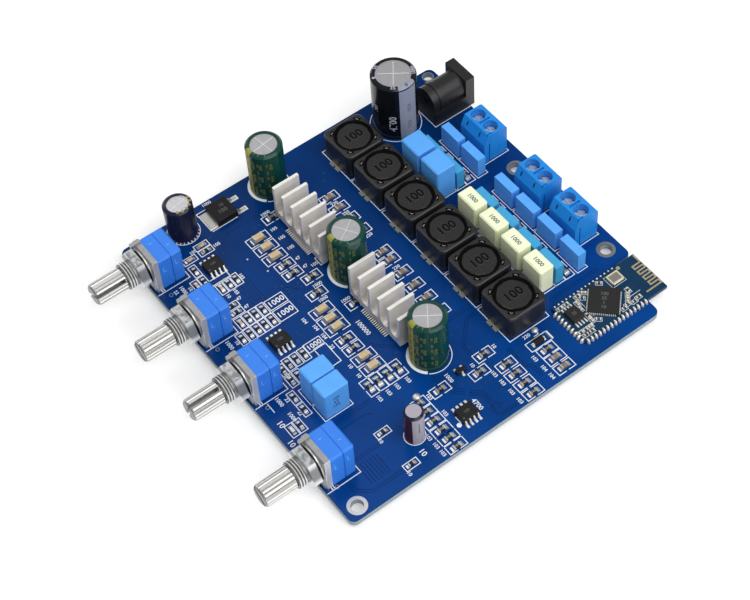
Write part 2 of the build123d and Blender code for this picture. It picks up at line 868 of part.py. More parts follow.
def build_amplifier_chips():
    """Amplifier chip bodies and the two rows of pins on each."""
    body = (amplifier_length, amplifier_width, amplifier_height)
    save_group([bevelled_boxes(amplifier_places, body, chip_edge, chip_lift)], "amplifier_chips")
    pin = bent_pin(amplifier_pin_reach, amplifier_height / 2)
    offsets = spread(amplifier_pin_count, amplifier_pin_pitch)
    starts = [
        (x + offset - amplifier_pin_width / 2, y)
        for x, y in amplifier_places
        for offset in offsets
    ]
    half = amplifier_width / 2
    mirrored = mirror(pin, about=Plane.YZ)
    with BuildPart() as pins:
        with BuildSketch(*[facing_right(x, y + half) for x, y in starts]):
            add(pin)
        with BuildSketch(*[facing_right(x, y - half) for x, y in starts]):
            add(mirrored)
        extrude(amount=amplifier_pin_width)
    save(pins, "amplifier_chip_pins")


def pin_plane(x, y, side, width):
    """Plane of a pin's side face, its profile running to the left or right."""
    origin = (left + x, front + y + width / 2, top)
    if side > 0:
        return Plane(origin=origin, x_dir=(1, 0, 0), z_dir=(0, -1, 0))
    return Plane(origin=(left + x, front + y - width / 2, top), x_dir=(-1, 0, 0), z_dir=(0, 1, 0))


def build_small_chips():
    """Eight-pin chips, the small transistor and the diode, with their pins."""
    bodies = [
        bevelled_boxes(eight_pin_places, eight_pin_body, chip_edge, chip_lift),
        bevelled_boxes([transistor_place], transistor_body, chip_edge, chip_lift),
        bevelled_boxes([diode_place], diode_body, chip_edge, chip_lift),
    ]
    save_group(bodies, "small_chips")
    width, depth, height = eight_pin_body
    rows = spread(eight_pins_per_side, eight_pin_pitch)
    pin = bent_pin(eight_pin_reach, height / 2)
    ends = [
        (x + side * width / 2, y + row, side)
        for x, y in eight_pin_places
        for row in rows
        for side in (-1, 1)
    ]
    with BuildPart() as chip_pins:
        with BuildSketch(*[pin_plane(*end, eight_pin_width) for end in ends]):
            add(pin)
        extrude(amount=eight_pin_width)
    width, depth, height = transistor_body
    x, y = transistor_place
    pin = bent_pin(transistor_pin_reach, height / 2)
    ends = [
        (x - width / 2, y - transistor_pitch / 2, -1),
        (x - width / 2, y + transistor_pitch / 2, -1),
        (x + width / 2, y, 1),
    ]
    with BuildPart() as transistor_pins:
        with BuildSketch(*[pin_plane(*end, transistor_pin_width) for end in ends]):
            add(pin)
        extrude(amount=transistor_pin_width)
    width, depth, height = diode_body
    x, y = diode_place
    reach = (depth + diode_pin_reach) / 2
    diode_size = (diode_pin_width, diode_pin_reach, chip_lift + height / 2)
    diode_pins = plain_blocks([(x, y - reach), (x, y + reach)], diode_size)
    save_group([chip_pins.part, transistor_pins.part, diode_pins], "small_chip_pins")


def build_regulator():
    """Power regulator: moulded body, and the tab with its two leads."""
    x, y = regulator_place
    width, depth, height = regulator_body
    block = bevelled_boxes([regulator_place], regulator_body, chip_edge)
    with BuildPart() as body:
        add(block)
        with BuildSketch(place(x, y)):
            Rectangle(regulator_tab_width, depth)
        extrude(amount=regulator_tab_thickness, mode=Mode.SUBTRACT)
    save(body, "regulator_body")
    length = depth + regulator_tab_reach
    lead = bent_pin(regulator_lead_reach, regulator_lead_height)
    offsets = [-regulator_lead_offset, regulator_lead_offset]
    starts = [x + offset - regulator_lead_width / 2 for offset in offsets]
    with BuildPart() as tab:
        with BuildSketch(place(x, y - depth / 2 - regulator_tab_reach + length / 2)):
            Rectangle(regulator_tab_width, length)
        extrude(amount=regulator_tab_thickness)
        with BuildSketch(*[facing_right(start, y + depth / 2) for start in starts]):
            add(lead)
        extrude(amount=regulator_lead_width)
    save(tab, "regulator_tab")


def turned(size):
    """The same chip size lying with its longest side along X."""
    return (size[1], size[0], size[2])


def plain_blocks(places, size, lift=0.0):
    """Plain blocks of one size, such as chip parts, lying on the board."""
    width, length, height = size
    with BuildPart() as blocks:
        with BuildSketch(*[place(x, y, lift) for x, y in places]):
            Rectangle(width, length)
        extrude(amount=height)
    return blocks.part


def build_chip_parts():
    """Chip resistors, chip capacitors and the indicator lamp."""
    resistors = [
        plain_blocks(upright_resistors, chip_0805),
        plain_blocks([(x, front_row) for x in front_chips], chip_0805),
        plain_blocks([(x, middle_row) for x in middle_chips], chip_0805),
        plain_blocks(level_resistors, turned(chip_0805)),
        plain_blocks([(x, output_row) for x in output_chips], turned(chip_0805)),
        plain_blocks(upright_small, chip_0603),
        plain_blocks(level_small, turned(chip_0603)),
    ]
    save_group(resistors, "chip_resistors")
    capacitors = [
        plain_blocks(supply_places, chip_1210),
        plain_blocks([(x, filter_row) for x in filter_chips], capacitor_0805),
        plain_blocks(brown_places, capacitor_0805),
        plain_blocks(brown_small, chip_0603),
        plain_blocks(tan_small, turned(chip_0603)),
    ]
    save_group(capacitors, "chip_capacitors")
    save_group([plain_blocks([lamp_place], turned(lamp_size))], "indicator_lamp")


def on_module(spot):
    """Place on the main board of a spot measured on the wireless module."""
    return (module_left + spot[0], module_front + spot[1])


def build_wireless_module():
    """Module board over the recess, with its chips, crystal and small parts."""
    middle = on_module((module_width / 2, module_length / 2))
    module_size = (module_width, module_length, module_thickness)
    save_group([plain_blocks([middle], module_size)], "wireless_board")
    memory = bevelled_boxes([on_module(memory_place)], memory_body, chip_edge, module_thickness)
    with BuildPart() as chips:
        with BuildSketch(place(*on_module(module_chip_place), module_thickness)):
            Rectangle(module_chip_side, module_chip_side, rotation=45)
        extrude(amount=module_chip_height)
        add(memory)
    save(chips, "wireless_chips")
    crystal = bevelled_boxes(
        [on_module(crystal_place)], crystal_body, crystal_edge, module_thickness
    )
    save_group([crystal], "wireless_crystal")
    spots = [on_module(spot) for spot in module_part_places]
    parts = plain_blocks(spots, module_part_size, module_thickness)
    save_group([parts], "wireless_small_parts")


def main():
    os.makedirs("parts", exist_ok=True)
    build_board()
    for number in range(len(pot_places)):
        build_pot_shaft(number)
        build_pot_housing(number)
    build_pot_front_plates()
    build_pot_fasteners()
    build_pot_pins()
    for number in range(len(terminal_places)):
        build_terminal_housing(number)
    build_terminal_cages()
    for number in range(len(poles)):
        build_wire_plate(number)
        build_terminal_screw(number)
    build_jack_housing()
    build_jack_pin()
    build_jack_contacts()
    build_electrolytics()
    build_capacitor_leads()
    build_film_capacitors()
    build_inductors()
    for number in range(len(amplifier_places)):
        build_heatsink(number)
    build_amplifier_chips()
    build_small_chips()
    build_regulator()
    build_chip_parts()
    build_wireless_module()


main()
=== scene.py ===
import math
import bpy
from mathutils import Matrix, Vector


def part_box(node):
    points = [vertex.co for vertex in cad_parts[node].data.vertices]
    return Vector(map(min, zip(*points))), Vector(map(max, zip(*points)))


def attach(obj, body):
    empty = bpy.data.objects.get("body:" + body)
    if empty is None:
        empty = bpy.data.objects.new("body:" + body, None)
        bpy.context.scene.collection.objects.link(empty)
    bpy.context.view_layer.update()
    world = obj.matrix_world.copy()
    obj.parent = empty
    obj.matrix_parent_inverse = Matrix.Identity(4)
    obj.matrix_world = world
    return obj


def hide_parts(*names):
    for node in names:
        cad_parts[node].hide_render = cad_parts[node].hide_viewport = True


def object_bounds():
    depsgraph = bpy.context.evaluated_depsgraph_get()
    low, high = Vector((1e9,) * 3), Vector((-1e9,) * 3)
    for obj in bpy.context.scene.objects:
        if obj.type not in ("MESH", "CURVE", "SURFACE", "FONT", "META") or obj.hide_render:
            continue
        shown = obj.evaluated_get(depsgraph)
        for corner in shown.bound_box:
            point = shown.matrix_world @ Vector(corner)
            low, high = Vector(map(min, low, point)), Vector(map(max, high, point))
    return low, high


bl_info = {
    "name": "Audio amplifier board",
    "version": (1, 0, 0),
    "blender": (4, 5, 0),
    "location": "3D View > Sidebar > Amplifier board",
    "description": "Finishes, print, solder and small metal parts of a populated amplifier board",
    "category": "Object",
}

from functools import cached_property, partialmethod

import bpy
import numpy as np
from mathutils import Matrix, Vector

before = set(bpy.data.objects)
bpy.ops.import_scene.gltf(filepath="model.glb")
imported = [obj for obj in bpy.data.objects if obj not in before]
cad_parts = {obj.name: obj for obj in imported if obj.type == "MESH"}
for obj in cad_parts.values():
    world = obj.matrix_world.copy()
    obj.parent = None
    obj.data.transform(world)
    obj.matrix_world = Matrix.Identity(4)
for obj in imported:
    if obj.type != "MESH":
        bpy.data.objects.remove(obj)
cad_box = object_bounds()

MM = 0.001
# Millimetres that flat print, foil and film stand above what carries them
FILM = 0.02
# Thickness of the circuit board, in millimetres
BOARD = 1.6
# Nodes whose solids are small parts with a plated end on either side
CHIP_PARTS = ("chip_resistors", "chip_capacitors", "indicator_lamp")


def front_left_corner():
    """Front left corner of the circuit board's top face, in metres."""
    low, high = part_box("circuit_board")
    return np.array([low.x, low.y, high.z])


# Every place below is in millimetres from this corner: x to the right, y to the back, z up.
CORNER = front_left_corner()


# Shader maths


class Wire:
    """A socket in a node tree. Arithmetic on it adds Math nodes."""

    def __init__(self, shader, socket):
        self.shader = shader
        self.socket = socket

    def maths(self, operation, *others):
        values = dict(enumerate((self, *others)))
        return self.shader.node("ShaderNodeMath", {"operation": operation}, values)

    def __rsub__(self, other):
        return (self * -1.0) + other

    __add__ = __radd__ = partialmethod(maths, "ADD")
    __mul__ = __rmul__ = partialmethod(maths, "MULTIPLY")
    __sub__ = partialmethod(maths, "SUBTRACT")
    __pow__ = partialmethod(maths, "POWER")
    __mod__ = partialmethod(maths, "FLOORED_MODULO")
    __lt__ = partialmethod(maths, "LESS_THAN")
    __gt__ = partialmethod(maths, "GREATER_THAN")
    __abs__ = partialmethod(maths, "ABSOLUTE")

    def step(self, low, high):
        """0 below low, 1 above high, smooth between."""
        settings = {"interpolation_type": "SMOOTHSTEP"}
        values = {"Value": self, "From Min": low, "From Max": high}
        return self.shader.node("ShaderNodeMapRange", settings, values)

    def band(self, middle, half, soft):
        """1 within half of the middle, falling to 0 over a soft edge."""
        return 1.0 - abs(self - middle).step(half, half + soft)


class Shader:
    """A material: its tree, its surface shader, and the ways to add nodes."""

    def __init__(self, name, **surface):
        self.material = bpy.data.materials.new(name)
        self.material.use_nodes = True
        self.tree = self.material.node_tree
        self.tree.nodes.clear()
        self.surface = self.tree.nodes.new("ShaderNodeBsdfPrincipled")
        output = self.tree.nodes.new("ShaderNodeOutputMaterial")
        self.tree.links.new(self.surface.outputs["BSDF"], output.inputs["Surface"])
        self.set(**surface)

    def feed(self, node, values):
        for key, value in values.items():
            if isinstance(value, Wire):
                self.tree.links.new(value.socket, node.inputs[key])
            else:
                node.inputs[key].default_value = value

    def node(self, kind, settings=None, values=None, out=0):
        """Any node by its type, with its settings first and then its sockets."""
        node = self.tree.nodes.new(kind)
        for key, value in (settings or {}).items():
            setattr(node, key, value)
        self.feed(node, values or {})
        return Wire(self, node.outputs[out])

    def set(self, **surface):
        """Values or wires for the surface shader, spaces in a socket's name as underscores."""
        self.feed(self.surface, {key.replace("_", " "): value for key, value in surface.items()})

    @cached_property
    def place(self):
        """Object coordinates as millimetres from the board's corner."""
        metres = self.node("ShaderNodeTexCoord", out="Object")
        values = {0: metres, 1: (1 / MM,) * 3, 2: tuple(CORNER / -MM)}
        return self.node("ShaderNodeVectorMath", {"operation": "MULTIPLY_ADD"}, values)

    @cached_property
    def axes(self):
        """The place's x, y and z."""
        node = self.tree.nodes.new("ShaderNodeSeparateXYZ")
        self.feed(node, {"Vector": self.place})
        return [Wire(self, socket) for socket in node.outputs]

    def noise(self, size, detail=2.0, roughness=0.5, stretch=None):
        """Noise whose blotches are about size millimetres wide, less where stretch is above 1."""
        vector = self.place
        if stretch:
            settings = {"operation": "MULTIPLY"}
            vector = self.node("ShaderNodeVectorMath", settings, {0: vector, 1: stretch})
        values = {"Vector": vector, "Scale": 1 / size, "Detail": detail, "Roughness": roughness}
        return self.node("ShaderNodeTexNoise", None, values)

    def mix(self, first, second, share):
        """Two colours, each plain or a wire, blended by a share of the second."""
        first, second = (end if isinstance(end, Wire) else shade(end) for end in (first, second))
        values = {"Factor": share, 6: first, 7: second}
        return self.node("ShaderNodeMix", {"data_type": "RGBA"}, values, out=2)

    def bump(self, height, depth):
        """Height from 0 to 1 as a bump depth millimetres high."""
        return self.node("ShaderNodeBump", None, {"Height": height, "Distance": depth * MM})


def shade(colour, share=1.0):
    """A colour made darker or lighter, with full cover."""
    return tuple(min(1.0, channel * share) for channel in colour[:3]) + (1.0,)


def moulded(name, colour, roughness=0.38, grain=0.12, depth=0.012, variation=0.08, gloss=0.25):
    """Moulded plastic or resin: faint cloudy colour, fine grain and uneven gloss."""
    shader = Shader(name, Specular_IOR_Level=gloss)
    cloud = shader.noise(3.0, 3.0)
    shader.set(
        Base_Color=shader.mix(shade(colour, 1 - variation), shade(colour, 1 + variation), cloud),
        Roughness=cloud * 0.16 + (roughness - 0.08),
        Normal=shader.bump(shader.noise(grain, 2.0), depth),
    )
    return shader


def metal(name, colour, roughness=0.25, depth=0.006, bare=1.0):
    """Bare or plated metal: fine marks and blotchy stains. Duller where bare is under 1."""
    shader = Shader(name, Metallic=bare)
    marks = shader.noise(0.15, 3.0, 0.6)
    blotches = shader.noise(2.2, 3.0)
    shader.set(
        Base_Color=shader.mix(shade(colour, 0.82), shade(colour, 1.1), blotches),
        Roughness=marks * 0.2 + (roughness - 0.1),
        Normal=shader.bump(marks, depth),
    )
    return shader


def ink(name, colour, roughness=0.5, gloss=0.2):
    """Printed ink: a little thin in places."""
    shader = Shader(name, Specular_IOR_Level=gloss)
    cover = shader.noise(0.5, 3.0)
    tint = shader.mix(shade(colour, 0.8), shade(colour, 1.05), cover)
    shader.set(Base_Color=tint, Roughness=cover * 0.2 + (roughness - 0.1))
    return shader


def dress(node, shader):
    """Give a carried-over node its finish."""
    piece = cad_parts[node]
    if not piece.material_slots:
        piece.data.materials.append(shader.material)
    for slot in piece.material_slots:
        slot.material = shader.material


# Surfaces, in millimetres: each patch is an array of points and a list of face arrays


def grid_faces(rows, columns, wrap_rows=False, wrap_columns=False):
    """Quads between neighbouring points of a grid, the last row or column joined to the first."""
    index = np.arange(rows * columns).reshape(rows, columns)
    if wrap_rows:
        index = np.vstack([index, index[:1]])
    if wrap_columns:
        index = np.hstack([index, index[:, :1]])
    corners = [index[:-1, :-1], index[:-1, 1:], index[1:, 1:], index[1:, :-1]]
    return np.stack(corners, axis=-1).reshape(-1, 4)


def copies(patch, places):
    """A patch repeated: its points plus each place, and its faces counted on."""
    points, faces = patch
    moves = np.atleast_2d(places).astype(float)
    if moves.shape[1] == 2:
        moves = np.column_stack([moves, np.zeros(len(moves))])
    spread = (points[None] + moves[:, None]).reshape(-1, 3)
    starts = len(points) * np.arange(len(moves))[:, None, None]
    return spread, [(group[None] + starts).reshape(-1, group.shape[1]) for group in faces]


def laid(patch, place, turn=0.0):
    """A patch turned about the upright axis by degrees, then moved to its place."""
    points, faces = patch
    cos, sin = math.cos(math.radians(turn)), math.sin(math.radians(turn))
    return points @ np.array([[cos, sin, 0], [-sin, cos, 0], [0, 0, 1]]) + np.array(place), faces


def facing(patch, origin, across, up):
    """A flat patch laid into an upright or sloping plane: origin plus x across plus y up."""
    points, faces = patch
    across = np.asarray(across, float) / np.linalg.norm(across)
    up = np.asarray(up, float) / np.linalg.norm(up)
    return np.asarray(origin) + points @ np.array([across, up, np.cross(across, up)]), faces


def make_piece(name, patches, shader, body="board", smooth=False):
    """One mesh of several patches of points and faces, riding on a body."""
    points = np.concatenate([patch[0] for patch in patches]) * MM + CORNER
    faces = []
    start = 0
    for patch_points, patch_faces in patches:
        for group in patch_faces:
            faces.extend((group + start).tolist())
        start += len(patch_points)
    mesh = bpy.data.meshes.new(name)
    mesh.from_pydata(points.tolist(), [], faces)
    mesh.polygons.foreach_set("use_smooth", np.full(len(mesh.polygons), smooth))
    mesh.materials.append(shader.material)
    mesh.update()
    piece = bpy.data.objects.new(name, mesh)
    bpy.context.scene.collection.objects.link(piece)
    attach(piece, body)
    return piece


def thicken(piece, thickness=FILM):
    """Give flat print or foil its thickness in millimetres, downwards from its face."""
    modifier = piece.modifiers.new("Thickness", "SOLIDIFY")
    modifier.thickness = thickness * MM
    modifier.offset = -1.0
    return piece


def printed(name, patches, colour, roughness, thickness=FILM, gloss=0.2):
    """A thin piece of ink."""
    tint = ink(name + "_ink", colour, roughness, gloss)
    return thicken(make_piece(name, patches, tint), thickness)


BOX_FACES = np.array(
    [[0, 3, 2, 1], [4, 5, 6, 7], [0, 1, 5, 4], [1, 2, 6, 5], [2, 3, 7, 6], [3, 0, 4, 7]]
)
BOX_CORNERS = np.array(
    [[0, 0, 0], [1, 0, 0], [1, 1, 0], [0, 1, 0], [0, 0, 1], [1, 0, 1], [1, 1, 1], [0, 1, 1]]
)


def boxes(low, high):
    """Boxes between rows of lowest and highest corners: each corner picks low or high per axis."""
    low, high = np.atleast_2d(low), np.atleast_2d(high)
    corners = np.where(BOX_CORNERS[None] == 1, high[:, None], low[:, None])
    faces = BOX_FACES[None] + 8 * np.arange(len(low))[:, None, None]
    return corners.reshape(-1, 3), [faces.reshape(-1, 4)]


def prism(section, half):
    """A section, x along and y up, carried across by half each way and closed at both ends."""
    section = np.asarray(section, float)
    count = len(section)
    near = np.column_stack([section[:, 0], np.full(count, -half), section[:, 1]])
    order = np.arange(count)
    ahead = np.roll(order, -1)
    sides = np.stack([order, order + count, ahead + count, ahead], axis=-1)
    points = np.vstack([near, near * (1, -1, 1)])
    return points, [sides, order[None], (order + count)[None, ::-1]]


def lathe(profile, steps=24, capped=True):
    """A rising profile of radius and height carried round the upright axis."""
    profile = np.asarray(profile, float)
    turn = np.linspace(0, 2 * math.pi, steps, endpoint=False)
    x = profile[:, :1] * np.cos(turn)
    y = profile[:, :1] * np.sin(turn)
    z = np.broadcast_to(profile[:, 1:], x.shape)
    points = np.stack([x, y, z], axis=-1).reshape(-1, 3)
    faces = [grid_faces(len(profile), steps, wrap_columns=True)]
    if capped:
        faces.append(np.arange(steps)[None] + steps * (len(profile) - 1))
    return points, faces


def flat(points):
    """Points of a plane, given a height of 0."""
    return np.column_stack([points, np.zeros(len(points))])


def ways(turn):
    """Steps of length 1 along bearings in radians: their cosines and sines."""
    return np.column_stack([np.cos(turn), np.sin(turn)])


def ribbon(first, second, closed=False):
    """Flat ribbon of quads between two rows of points."""
    points = np.stack([first, second], axis=1).reshape(-1, 2)
    return flat(points), [grid_faces(len(first), 2, wrap_rows=closed)[:, ::-1]]


def sheet(width, height, columns=1):
    """Flat sheet centred on the origin, cut across its width in even columns."""
    across = np.linspace(-width / 2, width / 2, columns + 1)
    x, y = np.meshgrid(across, [-height / 2, height / 2])
    return flat(np.column_stack([x.ravel(), y.ravel()])), [grid_faces(2, columns + 1)]


def beside(path, distance, closed=False):
    """A path moved to its left: each corner along its mitre, so that the runs stay parallel."""
    path = np.asarray(path, float)
    runs = np.roll(path, -1, axis=0) - path
    if not closed:
        runs[-1] = runs[-2]
    ahead = runs / np.linalg.norm(runs, axis=1, keepdims=True)
    before = np.roll(ahead, 1, axis=0)
    if not closed:
        before[0] = ahead[0]
    left = np.column_stack([-ahead[:, 1], ahead[:, 0]])
    mitre = left + np.column_stack([-before[:, 1], before[:, 0]])
    mitre /= np.linalg.norm(mitre, axis=1, keepdims=True)
    stretch = np.maximum(0.5, (mitre * left).sum(axis=1))
    return path + distance * mitre / stretch[:, None]


def strip(path, width, closed=False):
    """Flat strip along a path, between its two paths half the width to either side."""
    return ribbon(beside(path, -width / 2, closed), beside(path, width / 2, closed), closed)


def oblong(low, high, width):
    """Printed rectangle between two corners."""
    (x0, y0), (x1, y1) = low, high
    return strip([(x0, y0), (x1, y0), (x1, y1), (x0, y1)], width, closed=True)


def ring(inner, outer, start=0.0, end=360.0, steps=40):
    """Flat ring, or the part of one between two bearings: an inner and an outer arc."""
    closed = end - start >= 360.0
    turn = np.radians(np.linspace(start, end, steps, endpoint=not closed))
    return ribbon(ways(turn) * outer, ways(turn) * inner, closed)


def rounded_square(half, corner, steps=56):
    """Points round a square: along each bearing the nearer of its flat side and its corner's arc.

    The bearings crowd towards the corners.
    """
    turn = np.linspace(0, 2 * math.pi, steps, endpoint=False)
    way = ways(turn + 0.2 * np.sin(4 * turn))
    most, least = np.abs(way).max(axis=1), np.abs(way).min(axis=1)
    core = half - corner
    along = core * (most + least)
    arc = along + np.sqrt(np.maximum(0.0, along**2 - 2 * core**2 + corner**2))
    reach = np.where(half * least / most > core, arc, half / most)
    return way * reach[:, None]


def disc(radius, steps=16):
    """Flat round: one many-sided face."""
    turn = np.linspace(0, 2 * math.pi, steps, endpoint=False)
    return flat(radius * ways(turn)), [np.arange(steps)[None]]


def number(text, height, turn=0):
    """Points and triangles of a plain number, centred on the origin, height tall and turned."""
    curve = bpy.data.curves.new("number", "FONT")
    curve.body = text
    curve.align_x = "CENTER"
    curve.align_y = "CENTER"
    curve.size = height * 1.4
    curve.offset = height * 0.02
    curve.resolution_u = 2
    holder = bpy.data.objects.new("number", curve)
    bpy.context.scene.collection.objects.link(holder)
    mesh = bpy.data.meshes.new_from_object(holder)
    bpy.data.objects.remove(holder)
    mesh.calc_loop_triangles()
    points = np.empty(len(mesh.vertices) * 3)
    mesh.vertices.foreach_get("co", points)
    triangles = np.empty(len(mesh.loop_triangles) * 3, int)
    mesh.loop_triangles.foreach_get("vertices", triangles)
    bpy.data.meshes.remove(mesh)
    return laid((points.reshape(-1, 3), [triangles.reshape(-1, 3)]), (0, 0, 0), turn)


def box(node):
    """Lowest and highest corner of a node."""
    low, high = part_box(node)
    return (np.array(low) - CORNER) / MM, (np.array(high) - CORNER) / MM


def each(node):
    """The lowest and highest corner of each separate solid of a node, in pairs."""
    return zip(*solids(node))


def on_top(patch, low, high, rise=FILM, turn=0.0, shift=(0.0, 0.0)):
    """A patch laid over a box, above the middle of its top, or shifted from there."""
    x, y = (low + high)[:2] / 2 + shift
    return laid(patch, (x, y, high[2] + rise), turn)


def solids(node, below=math.inf):
    """Lowest and highest corners of each separate solid of a node, of its part below a level.

    Corners that coincide are joined, and every triangle spreads its lowest label
    over its corners until nothing changes.
    """
    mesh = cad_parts[node].data
    points = np.empty(len(mesh.vertices) * 3)
    mesh.vertices.foreach_get("co", points)
    points = (points.reshape(-1, 3) - CORNER) / MM
    keys, joined = np.unique(np.round(points, 4), axis=0, return_inverse=True)
    mesh.calc_loop_triangles()
    triangles = np.empty(len(mesh.loop_triangles) * 3, int)
    mesh.loop_triangles.foreach_get("vertices", triangles)
    triangles = joined.reshape(-1)[triangles].reshape(-1, 3)
    label = np.arange(len(keys))
    settled = False
    while not settled:
        lowest = label[triangles].min(axis=1)
        spread = label.copy()
        np.minimum.at(spread, triangles, lowest[:, None])
        settled = np.array_equal(spread, label)
        label = spread
    kept = keys[:, 2] < below
    names, owner = np.unique(label[kept], return_inverse=True)
    low = np.full((len(names), 3), np.inf)
    high = np.full((len(names), 3), -np.inf)
    np.minimum.at(low, owner.reshape(-1), keys[kept])
    np.maximum.at(high, owner.reshape(-1), keys[kept])
    return low, high


# What a user would change


class BoardLook(bpy.types.PropertyGroup):
    """Bare circuit board and its print."""

    mask_colour: bpy.props.FloatVectorProperty(
        name="Solder mask",
        description="Colour of the board's solder mask",
        subtype="COLOR",
        default=(0.0002, 0.040, 0.200),
    )
    print_colour: bpy.props.FloatVectorProperty(
        name="Print",
        description="Colour of the printed outlines and numbers",
        subtype="COLOR",
        default=(0.84, 0.86, 0.88),
    )
    line_width: bpy.props.FloatProperty(
        name="Line width",
        description="Width of the printed outlines",
        default=0.22 * MM,
        unit="LENGTH",
    )
    print_thickness: bpy.props.FloatProperty(
        name="Print thickness",
        description="How far the print stands above the solder mask",
        default=0.03 * MM,
        unit="LENGTH",
    )


class PotLook(bpy.types.PropertyGroup):
    """Potentiometers."""

    housing_colour: bpy.props.FloatVectorProperty(
        name="Housing",
        description="Colour of the moulded housings",
        subtype="COLOR",
        default=(0.034, 0.205, 0.76),
    )
    thread_pitch: bpy.props.FloatProperty(
        name="Thread pitch",
        description="Distance between the threads of the bushings",
        default=0.75 * MM,
        unit="LENGTH",
    )


class CapacitorLook(bpy.types.PropertyGroup):
    """Electrolytic and film capacitors."""

    sleeve_colour: bpy.props.FloatVectorProperty(
        name="Green sleeve",
        description="Colour of the green sleeves",
        subtype="COLOR",
        default=(0.003, 0.048, 0.036),
    )
    gold_colour: bpy.props.FloatVectorProperty(
        name="Gold print",
        description="Colour of the print on the green sleeves",
        subtype="COLOR",
        default=(0.32, 0.31, 0.06),
    )
    film_colour: bpy.props.FloatVectorProperty(
        name="Blue boxes",
        description="Colour of the blue film capacitors",
        subtype="COLOR",
        default=(0.10, 0.375, 0.87),
    )
    cream_colour: bpy.props.FloatVectorProperty(
        name="Cream boxes",
        description="Colour of the cream film capacitors",
        subtype="COLOR",
        default=(0.84, 0.89, 0.62),
    )


LOOKS = {"board_look": BoardLook, "pot_look": PotLook, "capacitor_look": CapacitorLook}


# Circuit board


# Mounting holes: place and radius
HOLES = [((98.65, 3.85), 1.6), ((78.7, 98.4), 1.6), ((43.1, 97.9), 1.6), ((2.3, 99.9), 1.35)]


class DressCircuitBoard(bpy.types.Operator):
    """Solder mask over copper, painted darker to the left and lighter to the right as shade and
    light, with the pale cut edge of the laminate
    """

    bl_idname = "amplifier.circuit_board"
    bl_label = "Circuit board"

    # The cut edge's middle level and half its height
    edge = (-BOARD / 2, 0.68)

    def execute(self, context):
        look = context.scene.board_look
        shader = Shader("solder_mask_blue", Specular_IOR_Level=0.10)
        x, z = shader.axes[0], shader.axes[2]
        cloud = shader.noise(14.0, 2.0)
        # Painted shade and light: the mask darkens towards the left of the board and lightens
        # towards the right
        left = shader.mix(shade(look.mask_colour, 0.50), shade(look.mask_colour, 0.95), cloud)
        right = shader.mix(shade(look.mask_colour, 0.75), shade(look.mask_colour, 1.35), cloud)
        mask = shader.mix(left, right, x.step(0.0, 95.0))
        edge = z.band(*self.edge, 0.02)
        fibres = shader.noise(1.2, 3.0, stretch=(1.0, 1.0, 8.0))
        cut = shader.mix((0.20, 0.26, 0.27), (0.42, 0.48, 0.47), fibres)
        weave = shader.noise(0.5, 2.0)
        shader.set(
            Base_Color=shader.mix(mask, cut, edge),
            Roughness=edge * 0.4 + 0.22,
            Normal=shader.bump(weave, 0.006),
        )
        dress("circuit_board", shader)
        return {"FINISHED"}


